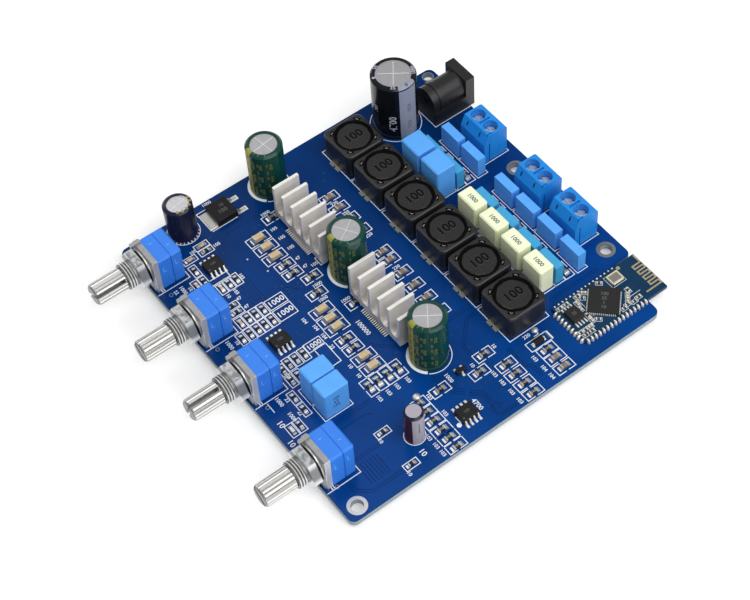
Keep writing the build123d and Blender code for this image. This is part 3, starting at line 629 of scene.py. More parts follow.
class BuildCopper(bpy.types.Operator):
    """Tracks under the solder mask, plated through holes and the rings of the mounting holes"""

    bl_idname = "amplifier.copper"
    bl_label = "Copper"

    track_width = 0.26
    # Runs of parallel tracks: the path of the first, how many, and how far apart
    tracks = [
        ([(46, 21.2), (17.5, 21.2), (9.5, 28.5), (4.6, 37.5)], 5, 0.85),
        ([(80.7, 22.0), (79.7, 19.8), (79.7, 12.7)], 1, 1.0),
        ([(88.2, 18.0), (88.2, 10.2), (86.8, 8.6), (86.8, 6.5)], 2, 0.7),
        ([(97.5, 18.5), (97.5, 9.2), (95.0, 6.2), (92.6, 6.2)], 2, 0.7),
        ([(90.0, 10.2), (96.2, 10.2)], 7, 0.9),
        ([(62, 46.9), (68.5, 46.9), (71.0, 49.4), (71.0, 58.6)], 2, 0.8),
        ([(58.5, 58.8), (58.5, 55.5), (60.2, 53.8), (66.0, 53.8), (68.5, 51.5)], 1, 1.0),
        ([(72.8, 59.5), (72.8, 56.9), (79.0, 50.7), (83.0, 50.7)], 2, 0.7),
        ([(82.0, 38.5), (84.2, 40.7), (88.4, 40.7), (90.4, 42.7)], 3, 0.7),
        ([(96.9, 45.1), (99.6, 45.1), (100.6, 46.1), (100.6, 51.0)], 2, 0.6),
        ([(91.0, 43.4), (93.2, 45.6), (97.0, 45.6), (98.9, 47.5)], 3, 0.65),
        ([(86.5, 59.0), (93.0, 59.0), (94.5, 60.5), (98.0, 60.5)], 2, 0.65),
        ([(60.0, 21.6), (60.0, 8.5), (62.6, 5.9), (62.6, 1.6)], 1, 1.0),
        ([(76.9, 23.5), (76.9, 3.4), (78.2, 2.1), (80.4, 2.1)], 2, 0.8),
        ([(10.5, 50.2), (18.0, 50.2), (20.6, 47.6), (35.6, 47.6)], 1, 1.0),
        ([(9.0, 58.8), (16.8, 58.8), (21.0, 56.6), (34.0, 56.6)], 2, 0.8),
        ([(3.4, 52.5), (3.4, 74.6), (2.2, 75.8), (2.2, 92.5)], 2, 0.9),
        ([(20.5, 95.8), (20.5, 86.6), (21.9, 85.2), (21.9, 76.5)], 2, 0.8),
        ([(41.4, 92.2), (41.4, 82.6), (43.9, 80.1), (43.9, 75.5)], 2, 0.8),
        ([(81.6, 93.0), (81.6, 77.4), (83.0, 76.0)], 2, 0.7),
        ([(47.6, 99.2), (47.6, 95.4), (45.0, 92.8)], 2, 0.9),
        ([(64.5, 33.2), (69.0, 37.7), (69.0, 45.0)], 2, 0.7),
        ([(31.2, 27.2), (36.6, 27.2), (40.6, 31.2), (40.6, 38.6)], 1, 1.0),
        ([(12.6, 24.9), (12.6, 34.8), (14.4, 36.6), (14.4, 44.0)], 1, 1.0),
        ([(5.6, 26.0), (1.6, 30.0), (1.6, 45.4)], 1, 1.0),
        ([(40.0, 4.4), (47.6, 4.4), (49.2, 6.0), (49.2, 11.5)], 2, 0.8),
        ([(19.2, 10.6), (19.2, 5.2), (22.0, 2.4), (27.4, 2.4)], 2, 0.8),
    ]
    # Small holes covered by the mask, and open holes for a test probe
    vias = [
        (15.6, 33.4), (15.6, 31.9), (37.5, 30.4), (39.1, 30.3), (38.3, 29.3), (40.2, 28.8),
        (37.0, 27.3), (38.2, 27.3), (39.7, 27.1), (42.0, 27.3), (43.3, 27.8), (35.7, 26.7),
        (32.6, 17.8), (34.1, 17.8), (49.6, 21.5), (51.0, 21.4), (84.9, 16.8), (85.2, 15.2),
        (85.9, 15.8), (92.2, 18.3), (92.2, 16.6), (92.2, 15.3), (81.6, 29.4), (81.6, 26.5),
        (95.6, 26.5), (97.5, 26.4), (98.9, 27.1), (90.9, 50.2), (95.1, 50.4), (91.0, 48.8),
        (91.0, 47.0), (91.0, 44.0), (87.7, 44.0), (94.1, 45.5), (96.9, 45.1), (98.7, 47.8),
        (88.8, 45.8), (95.0, 61.4), (100.3, 61.7), (88.2, 61.0), (89.6, 59.9), (93.1, 59.3),
        (75.6, 56.0), (73.5, 53.8), (76.7, 53.0), (74.7, 51.0), (80.2, 52.2), (70.0, 37.1),
        (34.8, 25.3), (35.2, 20.7), (17.3, 20.7), (11.1, 21.0), (6.0, 34.9), (80.7, 22.0),
        (44.2, 50.1), (47.4, 49.4), (14.2, 55.4), (12.1, 57.0), (62.5, 56.6), (64.2, 58.3),
        (21.9, 93.4), (44.6, 86.9), (41.9, 74.2), (81.9, 74.4), (99.0, 93.0), (100.2, 84.0),
    ]
    test_points = [(20.1, 3.0), (41.5, 2.9), (63.4, 2.9), (91.7, 3.1)]
    # Drops of solder: place and radius
    blobs = [((86.5, 68.0), 0.95), ((83.6, 33.0), 1.05), ((23.0, 24.6), 0.3), ((29.4, 26.6), 0.3)]

    def execute(self, context):
        look = context.scene.board_look
        raised = Shader("mask_over_tracks", Specular_IOR_Level=0.10)
        cloud = raised.noise(6.0, 2.0)
        dark, pale = shade(look.mask_colour, 0.5), shade(look.mask_colour, 0.8)
        raised.set(
            Base_Color=raised.mix(dark, pale, cloud),
            Roughness=0.24,
            Normal=raised.bump(raised.noise(0.4), 0.006),
        )
        tracks = [
            self.level(strip(beside(path, pitch * index), self.track_width))
            for path, count, pitch in self.tracks
            for index in range(count)
        ]
        thicken(make_piece("mask_over_tracks", tracks, raised))
        covered = [self.level(copies(ring(0.22, 0.34, steps=10), self.vias))]
        film = moulded("masked_copper", (0.004, 0.062, 0.25), 0.3)
        thicken(make_piece("covered_hole_rims", covered, film))
        rims = [self.level(copies(ring(0.3, 0.62, steps=20), self.test_points))]
        solder = metal("hole_rim_tin", (0.34, 0.36, 0.40), 0.4)
        thicken(make_piece("test_point_rims", rims, solder))
        # Painted shade: dark discs in the covered and open holes stand in for the shade inside
        # them
        dark = ink("hole_shadow", (0.004, 0.006, 0.012), 0.7)
        hole_shade_discs = [
            self.level(copies(disc(0.23, 10), self.vias), 0.015),
            self.level(copies(disc(0.31, 14), self.test_points), 0.015),
        ]
        make_piece("hole_shades", hole_shade_discs, dark)
        self.hole_rings()
        domes = [laid(self.blob(radius), (*middle, 0.0)) for middle, radius in self.blobs]
        bright = metal("solder_bright", (0.62, 0.62, 0.60), 0.4, bare=0.7)
        make_piece("solder_blobs", domes, bright, smooth=True)
        return {"FINISHED"}

    def hole_rings(self):
        """Tinned rings round the mounting holes, on both faces of the board, with painted
        reflections: pale towards the front and dark towards the back.
        """
        rings = []
        for middle, radius in HOLES:
            wide = ring(radius + FILM, radius + (0.95 if radius > 1.5 else 0.35), steps=42)
            rings.append(laid(wide, (*middle, 0.03)))
            points, faces = laid(wide, (*middle, -BOARD - FILM))
            rings.append((points, [faces[0][:, ::-1]]))
        plate = Shader("hole_ring_tin", Metallic=0.8, Roughness=0.4)
        y = plate.axes[1]
        scuffs = plate.noise(0.4, 3.0)
        # Painted reflections: pale on rings towards the front, dark on those at the back
        front = plate.mix((0.50, 0.51, 0.52), (0.72, 0.73, 0.74), scuffs)
        back = plate.mix((0.18, 0.19, 0.20), (0.34, 0.35, 0.36), scuffs)
        plate.set(
            Base_Color=plate.mix(back, front, y < 50.0),
            Normal=plate.bump(scuffs, 0.01),
        )
        thicken(make_piece("mounting_hole_rings", rings, plate), 0.03)

    def level(self, patch, height=FILM):
        """A patch lifted to a height."""
        return laid(patch, (0, 0, height))

    def blob(self, radius):
        """Flattened dome: a quarter of an ellipse carried round."""
        turn = np.radians([0, 20, 40, 60, 80])
        return lathe(radius * ways(turn) * (1.0, 0.6), 20)


class PrintBoard(bpy.types.Operator):
    """White outlines, polarity marks and plain numbers round the parts"""

    bl_idname = "amplifier.print"
    bl_label = "Print"

    # Outlines of chip parts by their length: the outline's length and width, and its gap
    chip_outlines = {3.2: (6.3, 3.0, 1.5), 2.0: (5.2, 2.8, 0.7), 1.6: (4.0, 2.0, 0.0)}
    # The furthest line to the right, and the middles of the pots and terminals from the left
    last_line = 101.6
    pots = [12.65, 34.65, 56.3, 86.2]
    terminals = [31.6, 54.0, 68.2]
    # Outlines where no part is fitted, and open lines
    empty_boxes = [
        ((36.9, 20.1), (40.2, 25.4)), ((40.7, 20.1), (44.6, 25.4)), ((54.0, 20.1), (56.8, 24.9)),
        ((56.5, 21.6), (63.5, 25.0)), ((88.4, 63.3), (91.2, 69.7)), ((22.7, 12.9), (24.9, 18.2)),
    ]
    lines = [
        [(9.8, 22.7), (9.8, 30.5), (8.9, 30.5)],
        [(3.6, 22.4), (2.4, 22.4), (2.4, 30.5), (2.9, 30.5)],
        [(94.0, 36.8), (96.2, 36.8)],
        [(86.5, 68.0), (87.9, 68.0), (87.9, 66.6)],
    ]
    # Two parallel dashes beside each pot, from one x to another, and their places from the front
    dashes = [(15.6, 18.35), (37.6, 40.35), (59.2, 62.0), (89.2, 91.9)]
    dash_rows = (1.9, 2.5)
    # Numbers along x and along y: the text, its height and its places
    numbers = [
        ("103", 1.0, [
            (78.3, 34.4), (78.2, 31.2), (78.3, 28.5), (78.3, 25.7), (85.5, 35.4), (91.5, 35.5),
            (94.5, 28.2), (97.4, 28.2), (100.0, 28.2), (90.3, 51.9), (93.4, 51.9), (96.9, 51.9),
            (100.1, 51.9), (93.0, 62.5), (26.5, 20.3), (29.6, 16.5),
        ]),
        ("10", 1.0, [
            (66.3, 25.7), (69.8, 25.7), (83.8, 57.0), (84.9, 49.3), (88.1, 18.6), (99.5, 18.6),
            (29.6, 14.2), (21.6, 7.8), (42.9, 7.8),
        ]),
        ("104", 1.0, [(96.6, 62.5), (99.5, 62.5), (48.0, 24.8), (51.5, 25.8), (54.9, 25.9)]),
        ("22", 1.0, [(58.8, 25.6), (64.6, 7.8), (69.6, 8.1), (20.3, 4.4)]),
        ("1000", 1.1, [(20.8, 6.2), (42.3, 5.9), (63.8, 6.0), (69.2, 6.0), (84.2, 42.5)]),
        ("10", 1.5, [(96.9, 24.6), (69.3, 2.6), (75.3, 1.5)]),
        ("4700", 1.3, [(94.5, 43.2)]),
        ("100000", 1.3, [(58.9, 35.1)]),
    ]
    upright_numbers = [
        ("1000", 1.0, [(13.5, 36.8), (40.9, 34.0), (45.5, 32.5), (49.3, 36.8), (1.0, 26.5)]),
        ("105", 1.0, [(19.2, 35.6), (22.8, 35.6), (26.9, 35.6)]),
        ("1000", 1.7, [(38.6, 22.75), (42.7, 22.75)]),
        ("1000", 1.5, [(55.45, 22.5)]),
        ("47", 1.0, [(30.9, 35.0), (34.2, 35.0), (31.9, 15.9), (35.2, 16.0)]),
        ("105", 1.0, [(14.0, 21.1), (12.2, 14.9), (35.2, 37.2)]),
        ("220", 1.0, [(22.3, 53.0), (26.8, 53.5), (36.5, 53.8), (86.7, 65.2), (49.3, 53.0)]),
    ]

    def execute(self, context):
        look = context.scene.board_look
        self.width = look.line_width / MM
        patches = self.chips() + self.pots_and_terminals() + self.feet() + self.cans()
        dashes = [[(x0, y), (x1, y)] for x0, x1 in self.dashes for y in self.dash_rows]
        lines = self.lines + dashes + [[(62.4, 3.4), (65.6, 3.4)]]
        patches += [strip(path, self.width) for path in lines]
        patches += [oblong(low, high, self.width) for low, high in self.empty_boxes]
        patches += [laid(disc(0.65), (96.4, 36.1, 0)), strip([(88.4, 69.9), (91.2, 69.9)], 0.7)]
        for table, turn in ((self.numbers, 0), (self.upright_numbers, 90)):
            for text, height, places in table:
                patches.append(copies(number(text, height, turn), places))
        level = look.print_thickness / MM
        lifted = [laid(patch, (0, 0, level)) for patch in patches]
        printed("board_print", lifted, look.print_colour, 0.55, level)
        return {"FINISHED"}

    def chips(self):
        """Round each chip part, two square brackets, or a closed frame where they meet."""
        patches = []
        for node in CHIP_PARTS:
            low, high = solids(node)
            middle, size = (low + high)[:, :2] / 2, (high - low)[:, :2]
            for long, (along, across, gap) in self.chip_outlines.items():
                a, b, g = along / 2, across / 2, gap / 2
                bracket = strip([(g, -b), (a, -b), (a, b), (g, b)], self.width)
                for turn in (0, 90, 180, 270):
                    fits = np.abs(size[:, (turn // 90) % 2] - long) < 0.1
                    places = middle[fits]
                    if fits.any():
                        reach = b if turn % 180 else a
                        places[:, 0] = np.minimum(places[:, 0], self.last_line - reach)
                        patches.append(copies(laid(bracket, (0, 0, 0), turn), places))
        return patches

    def pots_and_terminals(self):
        """Open and closed outlines of the parts along the front and back edges."""
        patches = [
            strip([(x - 5.7, 0.2), (x - 5.7, 9.9), (x + 5.7, 9.9), (x + 5.7, 0.2)], self.width)
            for x in self.pots
        ]
        for x in self.terminals:
            patches.append(oblong((x - 5.5, 91.9), (x + 5.5, 100.3), self.width))
        patches.append(oblong((8.7, 90.2), (18.25, 102.2), self.width))
        return patches

    def feet(self):
        """Round each boxed part, a frame a little wider than its foot."""
        margins = {
            "large_film_capacitors": (0.35, 0.45),
            "slim_film_capacitors": (0.5, 0.4),
            "cream_film_capacitors": (0.6, 0.3),
            "inductor_shields": (0.25, 0.2),
        }
        patches = []
        for node, (side, end) in margins.items():
            for low, high in each(node):
                first = (low[0] - side, low[1] - end)
                patches.append(oblong(first, (high[0] + side, high[1] + end), self.width))
        return patches

    def cans(self):
        """Round each can a circle, with a thick white part on the side of its minus lead."""
        patches = []
        for low, high in each("green_capacitors"):
            middle = (*((low + high) / 2)[:2], 0.0)
            patches.append(laid(ring(5.55, 5.78, 322, 500), middle))
            patches.append(laid(ring(4.8, 5.78, 140, 318), middle))
        low, high = box("supply_capacitor")
        patches.append(laid(ring(6.95, 7.15), (*((low + high) / 2)[:2], 0.0)))
        navy, lone = (5.0, 16.7, 0.0), (92.0, 26.0, 0.0)
        patches.append(laid(ring(4.3, 4.5), navy))
        spoke = strip([(3.6, 0.0), (4.4, 0.0)], 0.3)
        patches += [laid(spoke, navy, turn) for turn in range(300, 421, 15)]
        patches.append(laid(ring(2.6, 2.8), lone))
        return patches


def chip_bodies(node):
    """Corners of a node's chip parts, the wide thick ones drawn in to their ceramic's size."""
    low, high = solids(node)
    size = high - low
    wide = (np.sort(size[:, :2], axis=1)[:, 0] > 2.0) & (size[:, 2] > 1.2)
    across = np.argmin(size[:, :2], axis=1)
    rows = np.flatnonzero(wide)
    for axes, margin in ((across[rows], 0.42), (1 - across[rows], 0.22)):
        low[rows, axes] += margin
        high[rows, axes] -= margin
    high[rows, 2] -= 0.25
    return low, high


class Solder(bpy.types.Operator):
    """Metal ends and solder of the chip parts, pads under pins and solder below the board"""

    bl_idname = "amplifier.solder"
    bl_label = "Solder"

    # Steps of a cone below the board: out from the lead and down from the board
    cone = np.array([(0.1, -0.75), (0.2, -0.5), (0.45, -0.2), (0.75, -0.06), (0.8, 0.0)])

    def execute(self, context):
        bright = metal("solder_and_ends", (0.62, 0.61, 0.58), 0.3, bare=0.75)
        ends, joints = [], []
        for node in CHIP_PARTS:
            for low, high in zip(*chip_bodies(node)):
                ends += self.ends(low, high)
                joints += self.joints(low, high)
        make_piece("chip_part_ends", ends, bright)
        tin = metal("solder_tin", (0.60, 0.59, 0.57), 0.28, bare=0.8)
        make_piece("chip_part_solder", joints, tin)
        self.pads()
        self.cones()
        return {"FINISHED"}

    def ends(self, low, high):
        """The two plated ends of a chip part: boxes just outside its own."""
        size = high - low
        axis = 0 if size[0] > size[1] else 1
        reach = min(0.16 + 0.12 * size[axis], 0.34)
        patches = []
        for side in (0, 1):
            first, last = low - (FILM, FILM, 0), high + FILM
            if side:
                first[axis] = high[axis] - reach
            else:
                last[axis] = low[axis] + reach
            first[2] = 0.03
            patches.append(boxes(first, last))
        return patches

    def joints(self, low, high):
        """Solder at both ends of a chip part: a hollow slope from its end down to its pad."""
        size = high - low
        along_x = size[0] > size[1]
        long, wide = (size[0], size[1]) if along_x else (size[1], size[0])
        reach = min(0.32 + 0.2 * long, 0.72)
        tall = 0.62 * size[2]
        section = [
            (-0.1, 0.0),
            (reach, 0.0),
            (reach, 0.05),
            (reach * 0.62, 0.10),
            (reach * 0.3, tall * 0.42),
            (0.0, tall),
            (-0.1, tall),
        ]
        slope = prism(section, wide / 2 + 0.08)
        middle = ((low + high) / 2)[:2]
        way = (1, 0) if along_x else (0, 1)
        turn = 0 if along_x else 90
        patches = []
        for side in (1, -1):
            x, y = middle + side * np.array(way) * long / 2
            patches.append(laid(slope, (x, y, 0.0), turn if side > 0 else turn + 180))
        return patches

    def under(self, node, along, across, thick):
        """Corners of pads under a node's feet: wider by one length along each, another across."""
        low, high = solids(node)
        size = high - low
        grow = np.where(size[:, :2] > size[:, 1::-1], along, across)
        return flat(low[:, :2] - grow), flat(high[:, :2] + grow) + (0, 0, thick)

    def pads(self):
        """Tinned pads under the chips' feet, and combs of solder with painted shade in the gaps
        between them.
        """
        patches = [boxes(*self.under("small_chip_pins", 0.35, 0.12, 0.05))]
        low, high = solids("regulator_tab")
        first, last = flat(low[:, :2] - (0.35, 0.3)), flat(high[:, :2] + (0.35, 0.4))
        patches.append(boxes(first, last + (0, 0, 0.05)))
        tin = metal("pad_tin", (0.80, 0.78, 0.73), 0.36, bare=0.6)
        make_piece("pads", patches, tin)
        first, last = self.under("amplifier_chip_pins", 0.65, -0.03, 0.07)
        comb = metal("comb_tin", (1.0, 0.98, 0.91), 0.5, bare=0.0)
        make_piece("chip_solder_comb", [boxes(first, last)], comb)
        # Painted shade: a dark sheet under each comb stands in for the shade between the pins
        between = []
        for low, high in each("amplifier_chips"):
            near = np.abs((first + last)[:, 0] - (low + high)[0]) < 24.0
            corner, far = first[near].min(axis=0), last[near].max(axis=0)
            between.append(boxes((*corner[:2], 0.0), (*far[:2], 0.03)))
        painted_gap_shade = ink("comb_gap_shade", (0.003, 0.003, 0.005), 0.7, 0.02)
        make_piece("chip_comb_gap_shade", between, painted_gap_shade)

    def cones(self):
        """Solder below the board round every lead and pin: a hollow cone hanging from its pad."""
        places, radii = [], []
        for node in ("capacitor_leads", "pot_pins", "terminal_cages", "power_jack_contacts"):
            low, high = solids(node, below=-BOARD - 0.1)
            places.append(((low + high) / 2)[:, :2])
            radii.append(((high - low)[:, :2]).max(axis=1) / 2)
        places, radii = np.concatenate(places), np.concatenate(radii)
        patches = []
        for radius in np.unique(np.round(radii, 2)):
            same = np.round(radii, 2) == radius
            points, faces = lathe(self.cone + (radius, -BOARD), 12, capped=False)
            bottom = np.arange(12)[None, ::-1]
            patches.append(copies((points, faces + [bottom]), places[same]))
        shine = metal("solder_below", (0.78, 0.78, 0.78), 0.22)
        make_piece("solder_cones", patches, shine, smooth=True)


# Finishes and small pieces of the other parts


class DressPots(bpy.types.Operator):
    """Potentiometers: moulded housings, zinc plates, bright threads, nuts and shafts"""

    bl_idname = "amplifier.pots"
    bl_label = "Potentiometers"

    # The shafts' height above the board, the bushings' radius, where their thread begins and
    # ends, and the shafts' radius between their teeth
    axis_height = 6.9
    thread_radius = 3.5
    thread_reach = (-5.45, -2.75)
    groove_radius = 2.75

    def execute(self, context):
        look = context.scene.pot_look
        housing = moulded("pot_housing_blue", look.housing_colour, 0.34, variation=0.06)
        dress("pot_front_plates", self.plate())
        dress("pot_nuts", self.nut())
        dress("pot_washers", self.washer())
        dress("pot_pins", metal("pin_tin", (0.62, 0.61, 0.58), 0.32))
        threads, ticks = [], []
        for place in (1, 2, 3, 4):
            low, high = box(f"pot_{place}_housing")
            middle = (low[0] + high[0]) / 2
            dress(f"pot_{place}_housing", housing)
            dress(f"pot_{place}_shaft", self.shaft(place, middle))
            threads.append(self.thread(middle, look.thread_pitch / MM))
            ticks += self.ticks(middle, low, high)
        ridges = self.ridges(look.thread_pitch / MM)
        make_piece("bushing_threads", threads, ridges)
        printed("housing_ticks", ticks, (0.25, 0.50, 0.98), 0.4)
        return {"FINISHED"}

    def ridges(self, pitch):
        """Thread's metal: a painted highlight on each crest and painted shade in the grooves,
        repeating every pitch.
        """
        shader = Shader("thread_bright", Metallic=0.8)
        y = shader.axes[1]
        # Painted highlight on the crests and painted shade in the grooves
        crest = ((y - self.thread_reach[0]) % pitch).band(pitch / 2, pitch * 0.12, pitch * 0.25)
        marks = shader.noise(0.4, 3.0)
        shader.set(
            Base_Color=shader.mix((0.10, 0.10, 0.10), (0.85, 0.85, 0.84), crest),
            Roughness=marks * 0.2 + 0.25,
        )
        return shader

    def plate(self):
        """Cast zinc plates: cloudy grey, with a painted highlight on the right face of each."""
        shader = Shader("zinc_cast", Metallic=0.7)
        x = shader.axes[0]
        cloud = shader.noise(1.2, 4.0)
        grey = shader.mix((0.22, 0.225, 0.235), (0.43, 0.43, 0.44), cloud)
        # Painted highlight: the right face of each plate, and a thin strip of edge beside it,
        # painted pale
        side = 0.0
        for right in solids("pot_front_plates")[1][:, 0]:
            side = side + x.band(float(right), 0.05, 0.04)
        shader.set(
            Base_Color=shader.mix(grey, (0.80, 0.80, 0.79), side),
            Roughness=cloud * 0.2 + 0.32,
            Normal=shader.bump(cloud, 0.02),
        )
        return shader

    def nut(self):
        """Plated nuts: painted light and shade by height, pale below the axis and grey along the
        middle of the faces above it, and darker grey on top.
        """
        shader = Shader("nickel_plate", Metallic=0.6)
        z = shader.axes[2]
        marks = shader.noise(1.5, 2.0)
        pale = shader.mix((0.74, 0.75, 0.75), (0.90, 0.91, 0.91), marks)
        # Painted light and shade: pale faces below the axis, grey along their middle above it;
        # darker grey on top
        shade_above_axis, top = z.band(9.2, 0.9, 1.2), z.step(11.6, 11.8)
        faces = shader.mix(pale, (0.26, 0.27, 0.28), shade_above_axis)
        grey_top = shader.mix((0.20, 0.21, 0.22), (0.44, 0.45, 0.46), marks.step(0.4, 0.6))
        shader.set(
            Base_Color=shader.mix(faces, grey_top, top),
            Roughness=marks * 0.15 + 0.26,
        )
        return shader

    def washer(self):
        """Steel washer: painted black as the shade in the gap behind the nut, bright on its rim by
        the plate.
        """
        shader = Shader("washer_steel", Metallic=0.8, Roughness=0.35)
        y = shader.axes[1]
        # Painted shade: black in front, where the washer lies in the gap behind the nut
        rim = y.step(0.12, 0.26)
        marks = shader.noise(0.3, 3.0)
        bright = shader.mix((0.52, 0.52, 0.51), (0.68, 0.68, 0.66), marks)
        shader.set(Base_Color=shader.mix((0.010, 0.010, 0.011), bright, rim))
        return shader

    def shaft(self, place, middle):
        """Plated knurled shaft: bright on its teeth, with painted shade between them and in its
        slot.
        """
        shader = Shader(f"knurled_shaft_{place}", Metallic=0.8)
        across, up = shader.axes[0] - float(middle), shader.axes[2] - self.axis_height
        reach = (across * across + up * up) ** 0.5
        # Painted shade: dark where the surface is nearer the axis than the teeth, between them and
        # in the slot
        crest = reach.step(self.groove_radius - 0.05, self.groove_radius + 0.12)
        drawn = shader.noise(0.5, 3.0, stretch=(3.0, 0.25, 3.0))
        bright = shader.mix((0.40, 0.40, 0.39), (0.68, 0.67, 0.64), drawn)
        shader.set(
            Base_Color=shader.mix((0.26, 0.26, 0.26), bright, crest),
            Roughness=drawn * 0.15 + 0.3,
            Normal=shader.bump(drawn, 0.004),
        )
        return shader

    def thread(self, middle, pitch):
        """Sharp ridges round the front of a bushing, a zigzag carried round its axis."""
        start, end = self.thread_reach
        count = int((end - start) / pitch)
        steps = start + pitch * np.arange(2 * count + 1) / 2
        ridge = np.where(np.arange(len(steps)) % 2 == 0, 0.03, 0.24)
        rows = [(self.thread_radius, steps[0])]
        rows += [(self.thread_radius + rise, step) for rise, step in zip(ridge, steps)]
        rows.append((self.thread_radius, steps[-1]))
        points, faces = lathe(rows, 36, capped=False)
        x, y, z = points.T
        return np.column_stack([x + middle, z, self.axis_height - y]), faces

    def ticks(self, middle, low, high):
        """Two short moulded ticks on a housing's top and two corner marks on its right face."""
        top, right = high[2] + FILM, high[0] + FILM
        patches = [
            laid(strip([(0, -0.35), (0, 0.35)], 0.16), (middle + across, low[1] + back, top))
            for across, back in ((-1.6, 1.7), (1.4, 5.2))
        ]
        corner = strip([(-0.5, 0.9), (-0.5, -0.9), (0.3, -0.9)], 0.14)
        for back, up in ((1.6, 7.4), (5.3, 7.8)):
            patches.append(facing(corner, (right, low[1] + back, up), (0, 1, 0), (0, 0, 1)))
        return patches


class DressTerminals(bpy.types.Operator):
    """Screw terminals: moulded housings, plated screws, cages and wire plates"""

    bl_idname = "amplifier.terminals"
    bl_label = "Screw terminals"

    # The housings' slope from its foot to its head, each as place along the board and level
    slope = ((92.45, 7.2), (93.85, 10.2))
    # How far behind a housing's front its side keys begin
    key_place = 1.49

    def execute(self, context):
        blue = moulded("terminal_blue", (0.013, 0.232, 0.69), 0.36, variation=0.08)
        screw = metal("screw_steel", (0.86, 0.86, 0.86), 0.34, depth=0.002, bare=0.7)
        tin = metal("cage_tin", (0.55, 0.54, 0.5), 0.35)
        for block in (1, 2, 3):
            dress(f"terminal_{block}_housing", blue)
        slit_shades, keys = [], []
        (foot, low), (head, high) = self.slope
        up = np.array([0, head - foot, high - low])
        for pole in (1, 2, 3, 4, 5, 6):
            dress(f"terminal_screw_{pole}", screw)
            dress(f"wire_plate_{pole}", tin)
            near, far = box(f"terminal_screw_{pole}")
            across = (near[0] + far[0]) / 2
            middle = (across - 0.5, (foot + head) / 2 - 0.03, (low + high) / 2 + 0.01)
            points, faces = disc(1.0, 14)
            slit_shades.append(facing((points * (0.26, 0.85, 1), faces), middle, (1, 0, 0), up))
        for block in (1, 2, 3):
            near, far = box(f"terminal_{block}_housing")
            front, side, top = near[1] + self.key_place, far[0] - FILM, far[2] - FILM
            keys.append(boxes((side - 0.4, front + 0.35, 0.05), (side, front + 1.02, top)))
            keys.append(boxes((side - 0.4, front, 7.0), (side, front + 0.4, top)))
        make_piece("side_keys", keys, blue)
        dress("terminal_cages", tin)
        # Painted shade: a dark slit on each pole's slope stands in for the shade inside its slot
        dark = ink("terminal_slit_shade", (0.004, 0.030, 0.10), 0.6)
        make_piece("terminal_slit_shades", slit_shades, dark)
        return {"FINISHED"}


class DressJack(bpy.types.Operator):
    """Power jack: black moulding, bright pin and contact"""

    bl_idname = "amplifier.jack"
    bl_label = "Power jack"

    def execute(self, context):
        black = moulded("jack_black", (0.012, 0.012, 0.013), 0.34, depth=0.03, gloss=0.4)
        dress("power_jack_housing", black)
        dress("power_jack_pin", metal("jack_pin_nickel", (0.7, 0.7, 0.7), 0.2))
        dress("power_jack_contacts", metal("jack_contact_tin", (0.6, 0.59, 0.55), 0.3))
        return {"FINISHED"}


class Can:
    """An upright can in a printed sleeve: its middle, its radius at the print and its top."""

    # Width of the rounded edge, and how far print on the rim stands above it
    edge = 0.58
    lift = 0.03

    def __init__(self, low, high):
        self.middle = (low + high) / 2
        self.radius = (high[0] - low[0]) / 2 + FILM
        self.top = high[2]

    def around(self, reach, turn):
        """Places at a reach from the middle, one row for each bearing in degrees."""
        return self.middle[:2] + reach * ways(np.radians(np.atleast_1d(turn)))

    def wrap(self, patch, turn, level, rise=0.0):
        """A flat patch bent round the can: x as an arc from a bearing, y up, z outwards."""
        points, faces = patch
        radius = self.radius + rise
        bearing = math.radians(turn) + points[:, 0] / radius
        reach = (radius + points[:, 2])[:, None]
        x, y = (self.middle[:2] + reach * ways(bearing)).T
        return np.column_stack([x, y, level + points[:, 1]]), faces

    def panel(self, width, short, turn, columns):
        """A sheet round the side, short of the can's height."""
        tall = self.top - short
        return self.wrap(sheet(width, tall, columns), turn, tall / 2 + 0.1)

    def stripe(self, width, turn, columns):
        """A stripe up the side, and its end over the rounded edge and the rim at three radii."""
        half = math.degrees(width / 2 / self.radius)
        rows = []
        for inset, rise in ((0.0, -0.6), (self.edge, self.lift), (1.3, self.lift)):
            places = self.around(self.radius - inset, turn + np.linspace(-half, half, 7))
            rows.append(flat(places) + (0, 0, self.top + rise))
        return [self.panel(width, 1.2, turn, columns), (np.vstack(rows), [grid_faces(3, 7)])]

    def rim_mark(self, text, height, inset, turn):
        """A mark lying on the rim, its head towards the middle."""
        place = (*self.around(self.radius - inset, turn)[0], self.top + self.lift)
        return laid(number(text, height), place, turn + 90)


